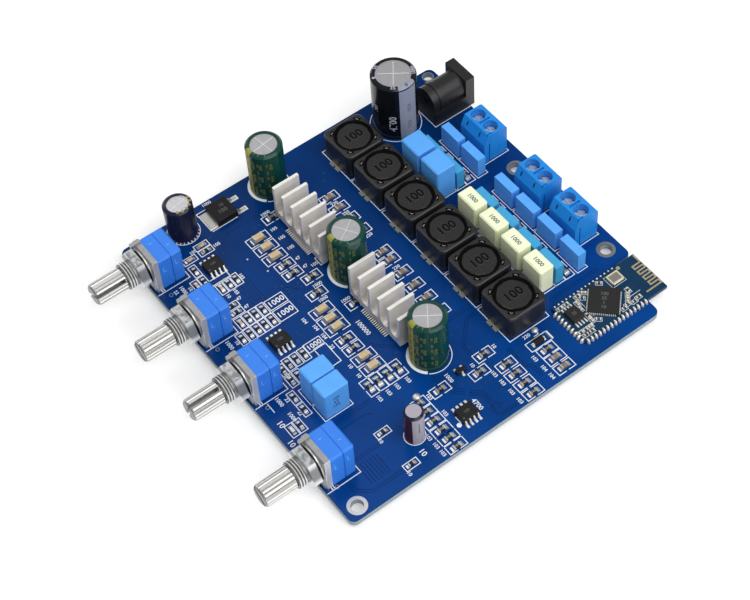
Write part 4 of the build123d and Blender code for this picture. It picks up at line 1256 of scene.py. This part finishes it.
class DressElectrolytics(bpy.types.Operator):
    """Electrolytic capacitors: printed sleeves and scored bright crowns"""

    bl_idname = "amplifier.electrolytics"
    bl_label = "Electrolytic capacitors"

    # Width of the sleeve's lip round the crown
    lip = 1.4
    # The green sleeves: the stripe's bearing and width, then rows of numbers, each with its
    # bearing, text, height and levels, and the bearings of the marks on the rim
    green_stripe = (264, 2.3)
    green_rows = [
        (290, "100010", 0.8, (3.0, 8.0, 13.0)),
        (313, "1050", 0.8, (3.0, 8.0, 13.0)),
        (345, "3510", 0.8, (3.0, 8.0, 13.0)),
        (281, "1350", 0.5, (3.4, 5.6, 8.6, 10.8, 13.6)),
        (304, "1350", 0.5, (3.4, 5.6, 8.6, 10.8, 13.6)),
        (333, "1350", 0.5, (3.4, 5.6, 8.6, 10.8, 13.6)),
    ]
    green_rim = (288, 306, 330)
    # The large can: its stripe's bearing and width, its numbers and those on its rim
    supply_stripe = (2, 5.6)
    supply_numbers = [(319, "4700", 2.1, 6.2), (272, "105", 1.3, 10.4)]
    supply_rim = [(322, "35"), (62, "1000"), (250, "8"), (208, "35")]
    # The navy can leans to its right by this many degrees: its crown lies off the middle of its
    # box, and the crown's middle below the top
    lean = 3.5
    crown_shift = 0.3
    crown_drop = 0.21
    # Degrees round the grey can of its pale cover and of its dark side
    grey_spans = (200, 70)

    def execute(self, context):
        look = context.scene.capacitor_look
        dress("green_capacitors", self.sleeve("green", look.sleeve_colour, (8, 32, 54)))
        dress("supply_capacitor", self.sleeve("supply", (0.005, 0.006, 0.008), (53,)))
        dress("small_capacitors", self.sleeve("small", (0.010, 0.011, 0.035), (12,), 1.3))
        dress("capacitor_leads", metal("lead_tin", (0.6, 0.6, 0.58), 0.3))
        self.print_green(look)
        self.print_supply()
        self.print_small()
        return {"FINISHED"}

    def sleeve(self, kind, colour, score_turns, pale=1.0):
        """Glossy sleeve colour, and inside its lip a scored metal crown on each can."""
        shader = Shader(f"sleeve_{kind}", Specular_IOR_Level=0.32)
        x, y, z = shader.axes
        crown, score = 0.0, 0.0
        node = "supply_capacitor" if kind == "supply" else f"{kind}_capacitors"
        cans = sorted(each(node), key=lambda corners: corners[0][0])
        for (low, high), score_turn in zip(cans, score_turns):
            middle, radius = (low + high) / 2, (high[0] - low[0]) / 2
            across, deep = x - middle[0], y - middle[1]
            reach = (across * across + deep * deep) ** 0.5
            inside = 1.0 - reach.step(radius - self.lip, radius - self.lip + 0.05)
            inside = inside * (z > high[2] - 0.9)
            turn = math.radians(score_turn)
            cos, sin = math.cos(turn), math.sin(turn)
            first, second = across * cos + deep * sin, across * sin - deep * cos
            nearer = abs(first).maths("MINIMUM", abs(second))
            line = 1.0 - nearer.step(0.03 * radius / 4, 0.11 * radius / 4)
            short = 1.0 - reach.step(radius * 0.66, radius * 0.7)
            crown = inside + crown
            score = line * inside * short + score
        brushed = shader.noise(0.5, 4.0, 0.65, stretch=(3.0, 0.5, 1.0))
        dull, bright = shade((0.30, 0.30, 0.32), pale), shade((0.62, 0.62, 0.64), pale)
        tint = shader.mix(shader.mix(dull, bright, brushed), (0.86, 0.86, 0.88), score)
        wrinkle = shader.noise(1.6, 2.0, stretch=(1.0, 1.0, 0.4))
        shader.set(
            Base_Color=shader.mix(shade(colour), tint, crown),
            Metallic=crown * 0.7,
            Roughness=crown * 0.14 + 0.22,
            Normal=shader.bump((brushed * 0.3 - score) * crown + wrinkle * (1.0 - crown), 0.05),
        )
        return shader

    def print_green(self, look):
        """Gold stripe with minus marks, and rows of plain numbers, round each green can."""
        stripes, marks, cuts = [], [], []
        turn, width = self.green_stripe
        for can in map(Can, *solids("green_capacitors")):
            stripes += can.stripe(width, turn, 8)
            for level in np.arange(2.0, can.top - 1.5, 2.6):
                cuts.append(can.wrap(sheet(0.35, 1.3, 2), turn, level, FILM))
            for around, text, height, levels in self.green_rows:
                word = number(text, height, 90)
                marks += [can.wrap(word, around, level) for level in levels]
            marks += [can.rim_mark("1", 0.9, 0.85, around) for around in self.green_rim]
        fine, dark = shade(look.gold_colour, 0.6), shade(look.sleeve_colour, 0.9)
        printed("green_can_stripes", stripes, look.gold_colour, 0.42)
        printed("green_can_numbers", marks, fine, 0.42)
        printed("green_can_minus_marks", cuts, dark, 0.4)

    def print_supply(self):
        """Pale stripe with hollow bars down the large can, and pale numbers beside it."""
        can = Can(*box("supply_capacitor"))
        turn, width = self.supply_stripe
        stripe = can.stripe(width, turn, 12)
        printed("supply_can_stripe", stripe, (0.30, 0.32, 0.41), 0.35)
        bar = oblong((-0.35, -1.2), (0.35, 1.2), 0.14)
        bars = [can.wrap(bar, turn, level, FILM) for level in (4.8, 11.4)]
        bars.append(can.rim_mark("0", 1.1, 0.7, turn))
        printed("supply_can_bars", bars, (0.02, 0.02, 0.03), 0.4)
        marks = [
            can.wrap(number(text, height, 90), around, level)
            for around, text, height, level in self.supply_numbers
        ]
        marks += [can.rim_mark(text, 1.1, 0.85, around) for around, text in self.supply_rim]
        printed("supply_can_numbers", marks, (0.50, 0.50, 0.62), 0.4)

    def print_small(self):
        """Stripes and marks on the two small cans at the front: navy, and grey to its right."""
        navy, grey = sorted(map(Can, *solids("small_capacitors")), key=lambda can: can.middle[0])
        wide, narrow = grey.radius * np.radians(self.grey_spans)
        crown = laid(disc(grey.radius - grey.edge, 28), (*grey.middle[:2], grey.top + FILM))
        cover = [grey.panel(wide, 0.8, 54, 22), crown]
        printed("grey_can_cover", cover, (0.40, 0.38, 0.44), 0.35)
        side = [grey.panel(narrow, 0.8, 279, 9)]
        printed("grey_can_side", side, (0.045, 0.012, 0.022), 0.35)
        line = [grey.wrap(sheet(0.16, 4.0), 352, 6.6, FILM)]
        printed("grey_can_marks", line, (0.03, 0.01, 0.015), 0.4)
        pale = [grey.wrap(sheet(0.4, 1.6, 2), 250, 5.5)]
        navy.middle[0] -= self.crown_shift
        for turn in range(-30, 91, 24):
            x, y = navy.around(3.3, turn)[0]
            tilt = (x - navy.middle[0]) * math.tan(math.radians(self.lean))
            level = navy.top + navy.lift - self.crown_drop + tilt
            pale.append(laid(number("8", 1.0), (x, y, level), turn + 90))
        printed("small_can_gold_marks", pale, (0.40, 0.34, 0.09), 0.4)


class DressFilmCapacitors(bpy.types.Operator):
    """Box film capacitors: blue, cyan and cream mouldings with small printed numbers"""

    bl_idname = "amplifier.film_capacitors"
    bl_label = "Film capacitors"

    def execute(self, context):
        look = context.scene.capacitor_look
        dress("large_film_capacitors", moulded("film_box_blue", look.film_colour, 0.4))
        cream = moulded("film_box_cream", look.cream_colour, 0.5)
        dress("cream_film_capacitors", cream)
        slim = Shader("film_box_slim", Roughness=0.4, Specular_IOR_Level=0.25)
        y = slim.axes[1]
        low, high = solids("slim_film_capacitors")
        rows = (low + high)[:, 1] / 2
        split = float((rows.min() + rows.max()) / 2)
        cloud = slim.noise(2.0, 3.0)
        cyan = slim.mix((0.04, 0.30, 0.56), (0.06, 0.38, 0.68), cloud)
        blue = slim.mix((0.08, 0.34, 0.82), (0.12, 0.42, 0.94), cloud)
        slim.set(
            Base_Color=slim.mix(cyan, blue, y > split),
            Normal=slim.bump(slim.noise(0.12), 0.01),
        )
        dress("slim_film_capacitors", slim)
        self.numbers()
        return {"FINISHED"}

    def numbers(self):
        """Dark numbers along the cream boxes' tops and on the side of the front blue pair."""
        marks = []
        word = number("1000", 1.25)
        for low, high in each("cream_film_capacitors"):
            marks.append(on_top(word, low, high, shift=(0.2, -0.1)))
        for low, high in each("large_film_capacitors"):
            if low[1] < 40:
                back = (low[1] + high[1]) / 2 - 0.3
                for up, text in ((6.4, "105"), (4.9, "63"), (3.4, "105")):
                    origin = (high[0] + FILM, back, up)
                    marks.append(facing(number(text, 1.0), origin, (0, 1, 0), (0, 0, 1)))
        printed("film_box_numbers", marks, (0.035, 0.05, 0.10), 0.5)


class DressInductors(bpy.types.Operator):
    """Inductors: matt ferrite shields and drums with engraved numbers, tinned terminals"""

    bl_idname = "amplifier.inductors"
    bl_label = "Inductors"

    # Radii: a drum's pressed face and the drum, the bore round it, and how far out the painted
    # shade over the gap between them reaches
    face = 4.42
    drum = 4.98
    bore = 5.15
    gap = 5.40

    def execute(self, context):
        black = (0.013, 0.013, 0.014)
        ferrite = moulded("ferrite_shield", black, 0.32, 0.35, 0.03, 0.25, gloss=0.42)
        drum = moulded("ferrite_drum", (0.009, 0.009, 0.010), 0.42, 0.45, 0.12, 0.3, gloss=0.4)
        dress("inductor_cores", drum)
        self.terminals()
        shields = solids("inductor_shields")
        bodies = [self.shield(low, high) for low, high in zip(*shields)]
        body = make_piece("ferrite_shields", bodies, ferrite)
        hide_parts("inductor_shields")
        word = number("100", 2.6, 90)
        # Painted shade: a dark ring over the gap between each drum and its bore
        bore_gap_shade = ring(self.drum, self.gap, steps=48)
        shield_top = shields[1][0][2]
        marks, painted_highlights, glints, painted_gap_shade, notch_shades = [], [], [], [], []
        for place, (low, high) in enumerate(each("inductor_cores")):
            x, y = (low + high)[:2] / 2
            # Painted shade: a dark ring round the drum's pressed face
            painted_gap_shade.append(on_top(self.rim_shade(), low, high, 0.012, 50 * place))
            # Painted highlights: a bright stretch of each drum's rim, and a grey copy of its
            # number shifted right and forward, along the engraving's edge
            lit = self.lit_rim(280 + 18 * place % 45, 34 + 21 * place % 28)
            painted_highlights.append(on_top(lit, low, high, 0.012))
            marks.append(on_top(word, low, high, 0.03))
            marks.append(on_top(word, low, high, 0.025, shift=(-0.09, 0.05)))
            painted_highlights.append(on_top(word, low, high, 0.015, shift=(0.11, -0.05)))
            painted_gap_shade.append(laid(bore_gap_shade, (x, y, shield_top + 0.01)))
        # Painted shade: dark patches at the shields' corners stand in for the shade in their
        # notches; pale V marks in them are painted glints on the wire
        notch_shade = ring(5.3, 6.3, -9, 9, steps=6)
        glint = strip([(5.65, -0.42), (6.0, 0.05), (5.75, 0.4)], 0.13)
        for low, high in zip(*shields):
            for turn in (135, -45, 45, -135):
                notch_shades.append(on_top(notch_shade, low, high, 0.015, turn))
                glints.append(on_top(glint, low, high, 0.03, turn))
        printed("drum_numbers", marks, (0.003, 0.003, 0.003), 0.5, 0.01, 0.04)
        printed("drum_highlights", painted_highlights, (0.10, 0.10, 0.105), 0.3, 0.01)
        wire = metal("wire_glint", (0.42, 0.41, 0.40), 0.35, bare=0.4)
        thicken(make_piece("wire_glints", glints, wire))
        # Painted shade in the shields' corner notches, over the gaps round the drums and on the
        # drums' rims
        dark = ink("shield_gap_shade", (0.004, 0.004, 0.0045), 0.6, 0.02)
        make_piece("shield_gap_shades", notch_shades + painted_gap_shade, dark)
        return {"FINISHED"}

    def terminals(self):
        """Two fingers in place of each solder terminal, to either side of its middle."""
        low, high = solids("inductor_terminals")
        middle = (low + high)[:, 0] / 2
        first = [np.column_stack([middle + a, low[:, 1:]]) for a in (-1.95, 0.3)]
        last = [np.column_stack([middle + b, high[:, 1:]]) for b in (-0.3, 1.95)]
        pairs = boxes(np.vstack(first), np.vstack(last))
        tin = metal("terminal_tin", (0.34, 0.34, 0.28), 0.4, bare=0.6)
        fingers = make_piece("terminal_fingers", [pairs], tin)
        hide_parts("inductor_terminals")

    def rim_shade(self):
        """Painted shade: a dark ring round a drum's pressed face, out to the drum's edge, with a
        chipped inner edge.

        The edge's radius is the face's plus waves of 3, 7 and 13 to the turn, 0.2 mm in all.
        """
        turn = np.linspace(0, 2 * math.pi, 72, endpoint=False)
        edge = self.face
        for height, waves, shift in ((0.09, 3, 0), (0.07, 7, 1), (0.04, 13, 0)):
            edge = edge + height * np.sin(waves * turn + shift)
        return ribbon(ways(turn) * self.drum, ways(turn) * edge[:, None], closed=True)

    def lit_rim(self, start, length):
        """Painted highlight on a chipped stretch of a drum's rim: an arc of 4.36 mm with waves of
        0.05 mm.
        """
        turn = np.radians(np.linspace(start, start + length, 16))
        reach = 4.36 + 0.05 * np.sin(17 * turn)
        return strip(reach[:, None] * ways(turn), 0.1)

    def shield(self, low, high):
        """Rounded square block round a bore: square rows up the outside, then round rows inside.

        Each row is a half width and corner radius, or a bore radius, at a height.
        """
        half = (high[0] - low[0]) / 2
        foot, top = low[2], high[2]
        outside = [
            (half - 0.15, 1.6, foot),
            (half, 1.7, foot + 0.3),
            (half, 1.7, top - 0.6),
            (half - 0.15, 1.6, top - 0.2),
            (half - 0.45, 1.4, top - 0.02),
            (half - 0.8, 1.2, top),
        ]
        rows = [
            flat(rounded_square(width, corner)) + (0, 0, level) for width, corner, level in outside
        ]
        way = rounded_square(half, 1.7)
        way /= np.linalg.norm(way, axis=1, keepdims=True)
        inside = [
            (self.bore + 0.3, top),
            (self.bore + 0.07, top - 0.12),
            (self.bore, top - 0.45),
            (self.bore, foot),
        ]
        rows += [flat(way * radius) + (0, 0, level) for radius, level in inside]
        points = np.vstack(rows) + (*((low + high) / 2)[:2], 0)
        return points, [grid_faces(len(rows), len(way), wrap_rows=True, wrap_columns=True)]


class DressHeatsinks(bpy.types.Operator):
    """Heatsinks and the amplifier chips below them"""

    bl_idname = "amplifier.heatsinks"
    bl_label = "Heatsinks"

    def execute(self, context):
        shader = Shader("heatsink_satin", Metallic=0.4, Roughness=0.34)
        z = shader.axes[2]
        lines = shader.noise(0.8, 3.0, stretch=(1.0, 0.15, 6.0))
        # Darker brown in blotches towards the foot of the fins
        blotches = shader.noise(4.0, 3.0).step(0.35, 0.65)
        foot = 1.0 - z.step(1.5, 9.0)
        cloud = shader.noise(2.5, 4.0)
        pale_satin = shader.mix((0.79, 0.76, 0.72), (0.95, 0.93, 0.89), cloud)
        tint = shader.mix(pale_satin, (0.46, 0.42, 0.36), blotches * foot)
        shader.set(Base_Color=tint, Normal=shader.bump(lines, 0.02))
        dress("heatsink_1", shader)
        dress("heatsink_2", shader)
        dress("amplifier_chips", moulded("amplifier_chip_black", (0.012, 0.013, 0.014), 0.5))
        dress("amplifier_chip_pins", metal("chip_pin_tin", (0.97, 0.95, 0.88), 0.45, bare=0.2))
        return {"FINISHED"}


class DressChips(bpy.types.Operator):
    """Small chips, regulator and chip parts"""

    bl_idname = "amplifier.chips"
    bl_label = "Chips"

    def execute(self, context):
        black = moulded("chip_black", (0.012, 0.012, 0.012), 0.48, 0.15, 0.02, 0.2, gloss=0.2)
        dress("small_chips", black)
        body = moulded("regulator_black", (0.007, 0.007, 0.008), 0.5, depth=0.02, gloss=0.2)
        dress("regulator_body", body)
        dress("regulator_tab", metal("tab_tin", (0.46, 0.45, 0.43), 0.34, bare=0.8))
        dress("small_chip_pins", metal("small_pin_tin", (0.88, 0.86, 0.80), 0.34, bare=0.6))
        dress("chip_resistors", moulded("resistor_black", (0.016, 0.016, 0.018), 0.35))
        dress("indicator_lamp", moulded("lamp_clear", (0.75, 0.74, 0.66), 0.3))
        tan = Shader("ceramic_tan", Roughness=0.45, Specular_IOR_Level=0.25)
        y = tan.axes[1]
        low, high = chip_bodies("chip_capacitors")
        row = float(high[high[:, 2] > 1.2, 1].max()) + 1.0
        cloud = tan.noise(0.8)
        pale = tan.mix((0.50, 0.36, 0.19), (0.62, 0.50, 0.30), cloud)
        brown = tan.mix((0.17, 0.12, 0.09), (0.27, 0.21, 0.15), cloud)
        tan.set(
            Base_Color=tan.mix(pale, brown, y > row),
            Normal=tan.bump(tan.noise(0.15), 0.01),
        )
        blocks = make_piece("ceramic_blocks", [boxes(low, high)], tan)
        edge = blocks.modifiers.new("Edges", "BEVEL")
        edge.width = 0.08 * MM
        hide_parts("chip_capacitors")
        self.marks()
        return {"FINISHED"}

    def marks(self):
        """Pale numbers on the resistors, grey ones on the chips, and a dot by each first pin."""
        pale, grey = [], []
        rise = 0.01
        for low, high in each("chip_resistors"):
            size = high - low
            if max(size[:2]) > 1.8:
                turn = 0 if size[0] > size[1] else 90
                pale.append(on_top(number("103", 0.62), low, high, rise, turn))
        for low, high in each("small_chips"):
            if high[0] - low[0] > 3:
                grey.append(on_top(number("100", 0.8), low, high, rise, 90))
                grey.append(laid(disc(0.25, 12), (high[0] - 0.7, low[1] + 0.6, high[2] + rise)))
        low, high = box("regulator_body")
        grey.append(on_top(number("100", 1.3), low, high, rise, 90, (0.8, 0.0)))
        grey.append(on_top(number("10", 1.0), low, high, rise, 90, (-1.0, 0.6)))
        printed("resistor_numbers", pale, (0.42, 0.43, 0.44), 0.5, 0.01)
        printed("chip_numbers", grey, (0.10, 0.10, 0.105), 0.4, 0.01)


class DressWirelessModule(bpy.types.Operator):
    """Wireless module: teal board, chips, crystal, edge solder and a copper aerial"""

    bl_idname = "amplifier.wireless_module"
    bl_label = "Wireless module"

    edge_pitch = 1.27
    # The main chip stands at 45 degrees: its middle, and half its side with the solder
    chip_middle = (91.3, 86.6)
    chip_half = 4.12
    # Tiny parts of the module: place, turn in degrees, and 1 for a tan block or 0 for a grey one
    tiny_parts = [
        (92.4, 93.7, 0, 0), (93.4, 92.6, -42, 1), (94.6, 91.6, -42, 1), (95.6, 90.6, 90, 0),
        (96.1, 89.2, 90, 0), (95.6, 94.3, 90, 0), (96.0, 92.6, 90, 0), (86.2, 89.4, 50, 0),
        (86.0, 84.4, 50, 1), (87.0, 83.0, 50, 0), (85.9, 82.4, 90, 0), (87.6, 81.0, 0, 1),
        (89.3, 80.6, 0, 1), (92.0, 80.7, 0, 0), (93.6, 80.6, 0, 1), (94.5, 82.0, 50, 0),
        (94.9, 79.0, 90, 1), (95.0, 77.3, 90, 0), (96.1, 78.4, 90, 0), (96.1, 76.6, 90, 0),
        (94.9, 75.9, 90, 0), (86.0, 78.6, 90, 0), (86.0, 76.6, 90, 0),
    ]

    def execute(self, context):
        teal = moulded("module_mask_teal", (0.0015, 0.030, 0.080), 0.3, variation=0.2)
        dress("wireless_board", teal)
        black = moulded("module_chip_black", (0.018, 0.019, 0.018), 0.45, gloss=0.2)
        dress("wireless_chips", black)
        dress("wireless_crystal", metal("crystal_lid", (0.50, 0.47, 0.42), 0.3))
        dress("wireless_small_parts", moulded("module_parts", (0.30, 0.24, 0.16), 0.4))
        low, high = box("wireless_board")
        self.edge_solder(low, high)
        self.aerial(low, high)
        chips = sorted(each("wireless_chips"), key=lambda corners: corners[1][1])
        self.chip_edges(high[2], *chips[0])
        self.small_parts(high[2])
        self.marks(high[2], *chips)
        return {"FINISHED"}

    def edge_solder(self, low, high):
        """Solder fingers down both sides and along the front: long low heaps over the edge."""
        profile = [(1.0, 0.0), (0.97, 0.35), (0.80, 0.8), (0.55, 1.08), (0.25, 1.2)]
        points, faces = lathe(profile, 12)
        finger, short = (points * (0.85, 0.44, 1.0), faces), (points * (0.45, 0.40, 1.0), faces)
        rows = low[1] + 0.9 + self.edge_pitch * np.arange(16)
        right = [(high[0] - 0.12, y) for y in rows]
        left = [(low[0] + 0.15, y) for y in rows]
        ends = [(low[0] + 1.8 + self.edge_pitch * k, low[1] - 0.1) for k in range(9)]
        front = copies(laid(finger, (0, 0, 0), 90), ends)
        heaps = [copies(finger, right), copies(short, left), front]
        tin = metal("edge_solder", (0.88, 0.85, 0.78), 0.34, bare=0.55)
        make_piece("module_edge_solder", heaps, tin, smooth=True)

    def aerial(self, low, high):
        """Copper track that runs to and fro across the free end of the module, and a round pad."""
        level = high[2] + FILM
        near, back = high[1] - 2.9, high[1] - 0.3
        path = [(low[0] + 0.3, back)]
        for x in low[0] + 3.0 + 2.0 * np.arange(4):
            path += [(x, back), (x, near), (x + 1.0, near), (x + 1.0, back)]
        path += [(high[0] - 1.9, back), (high[0] - 1.9, high[1] - 5.3)]
        track = laid(strip(path, 0.45), (0, 0, level))
        pad = laid(disc(0.55, 18), (low[0] + 1.0, high[1] - 6.0, level))
        copper = metal("aerial_copper", (0.50, 0.42, 0.24), 0.34, bare=0.5)
        thicken(make_piece("module_aerial", [track, pad], copper))

    def chip_edges(self, top, low, high):
        """Solder along the turned main chip's sides, pins of the other chip, and the lid's rim."""
        marks = []
        point = boxes((-0.15, -0.16, 0.0), (0.15, 0.16, 0.45))
        for along in np.arange(-3.4, 3.5, 0.5):
            for side in (-1, 1):
                moved = laid(point, (along, side * self.chip_half, 0.0))
                marks += [laid(moved, (*self.chip_middle, top), turn) for turn in (45, 135)]
        for y in low[1] + 0.4 + 0.93 * np.arange(4):
            for near, far in ((high[0], high[0] + 1.3), (low[0] - 1.1, low[0])):
                marks.append(boxes((near, y - 0.2, top), (far, y + 0.2, top + 0.2)))
        tin = metal("module_chip_solder", (0.90, 0.88, 0.84), 0.35, bare=0.5)
        make_piece("module_chip_solder", marks, tin)
        low, high = box("wireless_crystal")
        rim = oblong(low[:2] + 0.28, high[:2] - 0.28, 0.36)
        rim = laid(rim, (0, 0, high[2] + 0.03))
        pale = metal("lid_rim", (0.85, 0.80, 0.55), 0.35, bare=0.5)
        thicken(make_piece("crystal_lid_rim", [rim], pale), 0.03)

    def small_parts(self, top):
        """Tiny parts: a block between two bright ends, with a thin white outline."""
        block = boxes((-0.34, -0.3, 0.0), (0.34, 0.3, 0.42))
        first = [(-0.62, -0.32, 0.0), (0.34, -0.32, 0.0)]
        last = [(-0.34, 0.32, 0.45), (0.62, 0.32, 0.45)]
        ends = boxes(first, last)
        outline = oblong((-0.9, -0.56), (0.9, 0.56), 0.14)
        tan, grey, bright, lines = [], [], [], []
        for x, y, turn, is_tan in self.tiny_parts:
            place = (x, y, top)
            (tan if is_tan else grey).append(laid(block, place, turn))
            bright.append(laid(ends, place, turn))
            lines.append(laid(outline, (x, y, top + FILM), turn))
        ceramic = moulded("module_tan_blocks", (0.42, 0.33, 0.18), 0.4)
        dull = moulded("module_grey_blocks", (0.05, 0.045, 0.04), 0.4)
        piece = make_piece("module_tan_blocks", tan, ceramic)
        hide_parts("wireless_small_parts")
        make_piece("module_grey_blocks", grey, dull)
        tin = metal("module_tiny_ends", (0.90, 0.89, 0.86), 0.34, bare=0.5)
        make_piece("module_tiny_ends", bright, tin)
        printed("module_outlines", lines, (0.66, 0.70, 0.72), 0.5)

    def marks(self, top, front_chip, main_chip):
        """Thin white outlines on the module, and numbers on its chips."""
        lines = [
            oblong((85.8, 91.2), (89.6, 95.6), 0.14),
            strip([(94.2, 96.1), (94.2, 92.2)], 0.16),
            strip([(86.6, 81.9), (93.0, 81.9)], 0.14),
            strip([(94.2, 80.2), (94.2, 75.4)], 0.14),
        ]
        patches = [laid(line, (0, 0, top + 0.03)) for line in lines]
        printed("module_print", patches, (0.60, 0.66, 0.68), 0.5)
        level = main_chip[1][2] + FILM
        text = []
        for shift, word in ((1.9, "100"), (0.5, "35"), (-0.9, "1"), (-2.2, "10")):
            line = laid(number(word, 1.0), (0, shift, 0))
            text.append(laid(line, (*self.chip_middle, level), 45))
        text.append(on_top(number("25", 0.9), *front_chip, FILM, 90))
        printed("module_chip_numbers", text, (0.12, 0.125, 0.125), 0.45, 0.01)


# Stage


class BuildStage(bpy.types.Operator):
    """Pale floor, soft light and the camera at the photograph's angle"""

    bl_idname = "amplifier.stage"
    bl_label = "Stage"

    # The camera's lens and shift, its place, and the picture's directions across and down
    lens = 89.944
    shift = (-0.033333, -0.133333)
    eye = (286.6, -109.3, 385.8)
    across = (0.6071, 0.7937, -0.0371)
    down = (0.6058, -0.4926, -0.6247)
    # Rays to which the floor gives off light of its own
    seen_by = ("Is Camera Ray", "Is Glossy Ray", "Is Transmission Ray")

    def execute(self, context):
        scene = context.scene
        scene.view_settings.view_transform = "Standard"
        self.camera(scene)
        self.floor()
        self.world(scene)
        self.lamp("key", (0.52, 0.08, 0.66), 0.95, 7.3)
        self.lamp("fill", (-0.45, -0.12, 0.7), 0.7, 2.2)
        return {"FINISHED"}

    def camera(self, scene):
        """Camera from its place over the board and the directions of the picture's edges."""
        data = bpy.data.cameras.new("camera")
        data.lens = self.lens
        data.shift_x, data.shift_y = self.shift
        data.clip_start, data.clip_end = 0.01, 20.0
        camera = bpy.data.objects.new("camera", data)
        scene.collection.objects.link(camera)
        across = Vector(self.across).normalized()
        up = -Vector(self.down).normalized()
        behind = across.cross(up).normalized()
        up = behind.cross(across)
        turn = Matrix((across, up, behind)).transposed().to_4x4()
        place = Vector(CORNER + np.array(self.eye) * MM)
        camera.matrix_world = Matrix.Translation(place) @ turn
        scene.camera = camera

    def floor(self):
        """Wide flat floor just below the part, white where the camera sees it."""
        reach = 1.6
        mesh = bpy.data.meshes.new("floor")
        corners = [(-reach, -reach), (reach, -reach), (reach, reach), (-reach, reach)]
        mesh.from_pydata([(x, y, cad_box[0].z) for x, y in corners], [], [(0, 1, 2, 3)])
        floor = bpy.data.objects.new("floor", mesh)
        bpy.context.scene.collection.objects.link(floor)
        matt = {"Roughness": 0.9, "Specular_IOR_Level": 0.0, "Emission_Strength": 1.0}
        shader = Shader("floor_white", **matt)
        paths = [shader.node("ShaderNodeLightPath", out=way) for way in self.seen_by]
        seen = paths[0] + paths[1] + paths[2]
        cloud = shader.noise(60.0)
        shader.set(
            Base_Color=shader.mix((0.78, 0.78, 0.78), (0.82, 0.82, 0.82), cloud),
            Emission_Color=shader.mix((0, 0, 0), (0.29, 0.29, 0.29), seen),
        )
        mesh.materials.append(shader.material)

    def world(self, scene):
        """Even pale surroundings."""
        world = bpy.data.worlds.new("surroundings")
        world.use_nodes = True
        background = world.node_tree.nodes["Background"]
        background.inputs["Color"].default_value = (1.0, 1.0, 1.0, 1.0)
        background.inputs["Strength"].default_value = 0.36
        scene.world = world

    def lamp(self, name, place, side, power):
        """Square soft lamp aimed at the middle of the part."""
        data = bpy.data.lights.new(name, "AREA")
        data.size = side
        data.energy = power
        lamp = bpy.data.objects.new(name, data)
        bpy.context.scene.collection.objects.link(lamp)
        aim = (-Vector(place)).to_track_quat("-Z", "Y").to_matrix().to_4x4()
        lamp.matrix_world = Matrix.Translation(place) @ aim


OPERATORS = [
    DressCircuitBoard,
    BuildCopper,
    PrintBoard,
    Solder,
    DressPots,
    DressTerminals,
    DressJack,
    DressElectrolytics,
    DressFilmCapacitors,
    DressInductors,
    DressHeatsinks,
    DressChips,
    DressWirelessModule,
    BuildStage,
]


class AmplifierPanel(bpy.types.Panel):
    """Lists the board's settings and pieces"""

    bl_idname = "AMPLIFIER_PT_pieces"
    bl_label = "Amplifier board"
    bl_space_type = "VIEW_3D"
    bl_region_type = "UI"
    bl_category = "Amplifier board"

    def draw(self, context):
        for look in LOOKS:
            for prop in getattr(context.scene, look).__annotations__:
                self.layout.prop(getattr(context.scene, look), prop)
        for operator in OPERATORS:
            self.layout.operator(operator.bl_idname)


def register():
    for name, look in LOOKS.items():
        bpy.utils.register_class(look)
        setattr(bpy.types.Scene, name, bpy.props.PointerProperty(type=look))
    for operator in OPERATORS:
        bpy.utils.register_class(operator)
    bpy.utils.register_class(AmplifierPanel)


def unregister():
    bpy.utils.unregister_class(AmplifierPanel)
    for operator in reversed(OPERATORS):
        bpy.utils.unregister_class(operator)
    for name, look in LOOKS.items():
        delattr(bpy.types.Scene, name)
        bpy.utils.unregister_class(look)


def main():
    """Make every piece in order."""
    register()
    for operator in OPERATORS:
        group, name = operator.bl_idname.split(".")
        getattr(getattr(bpy.ops, group), name)()


if __name__ == "__main__":
    main()
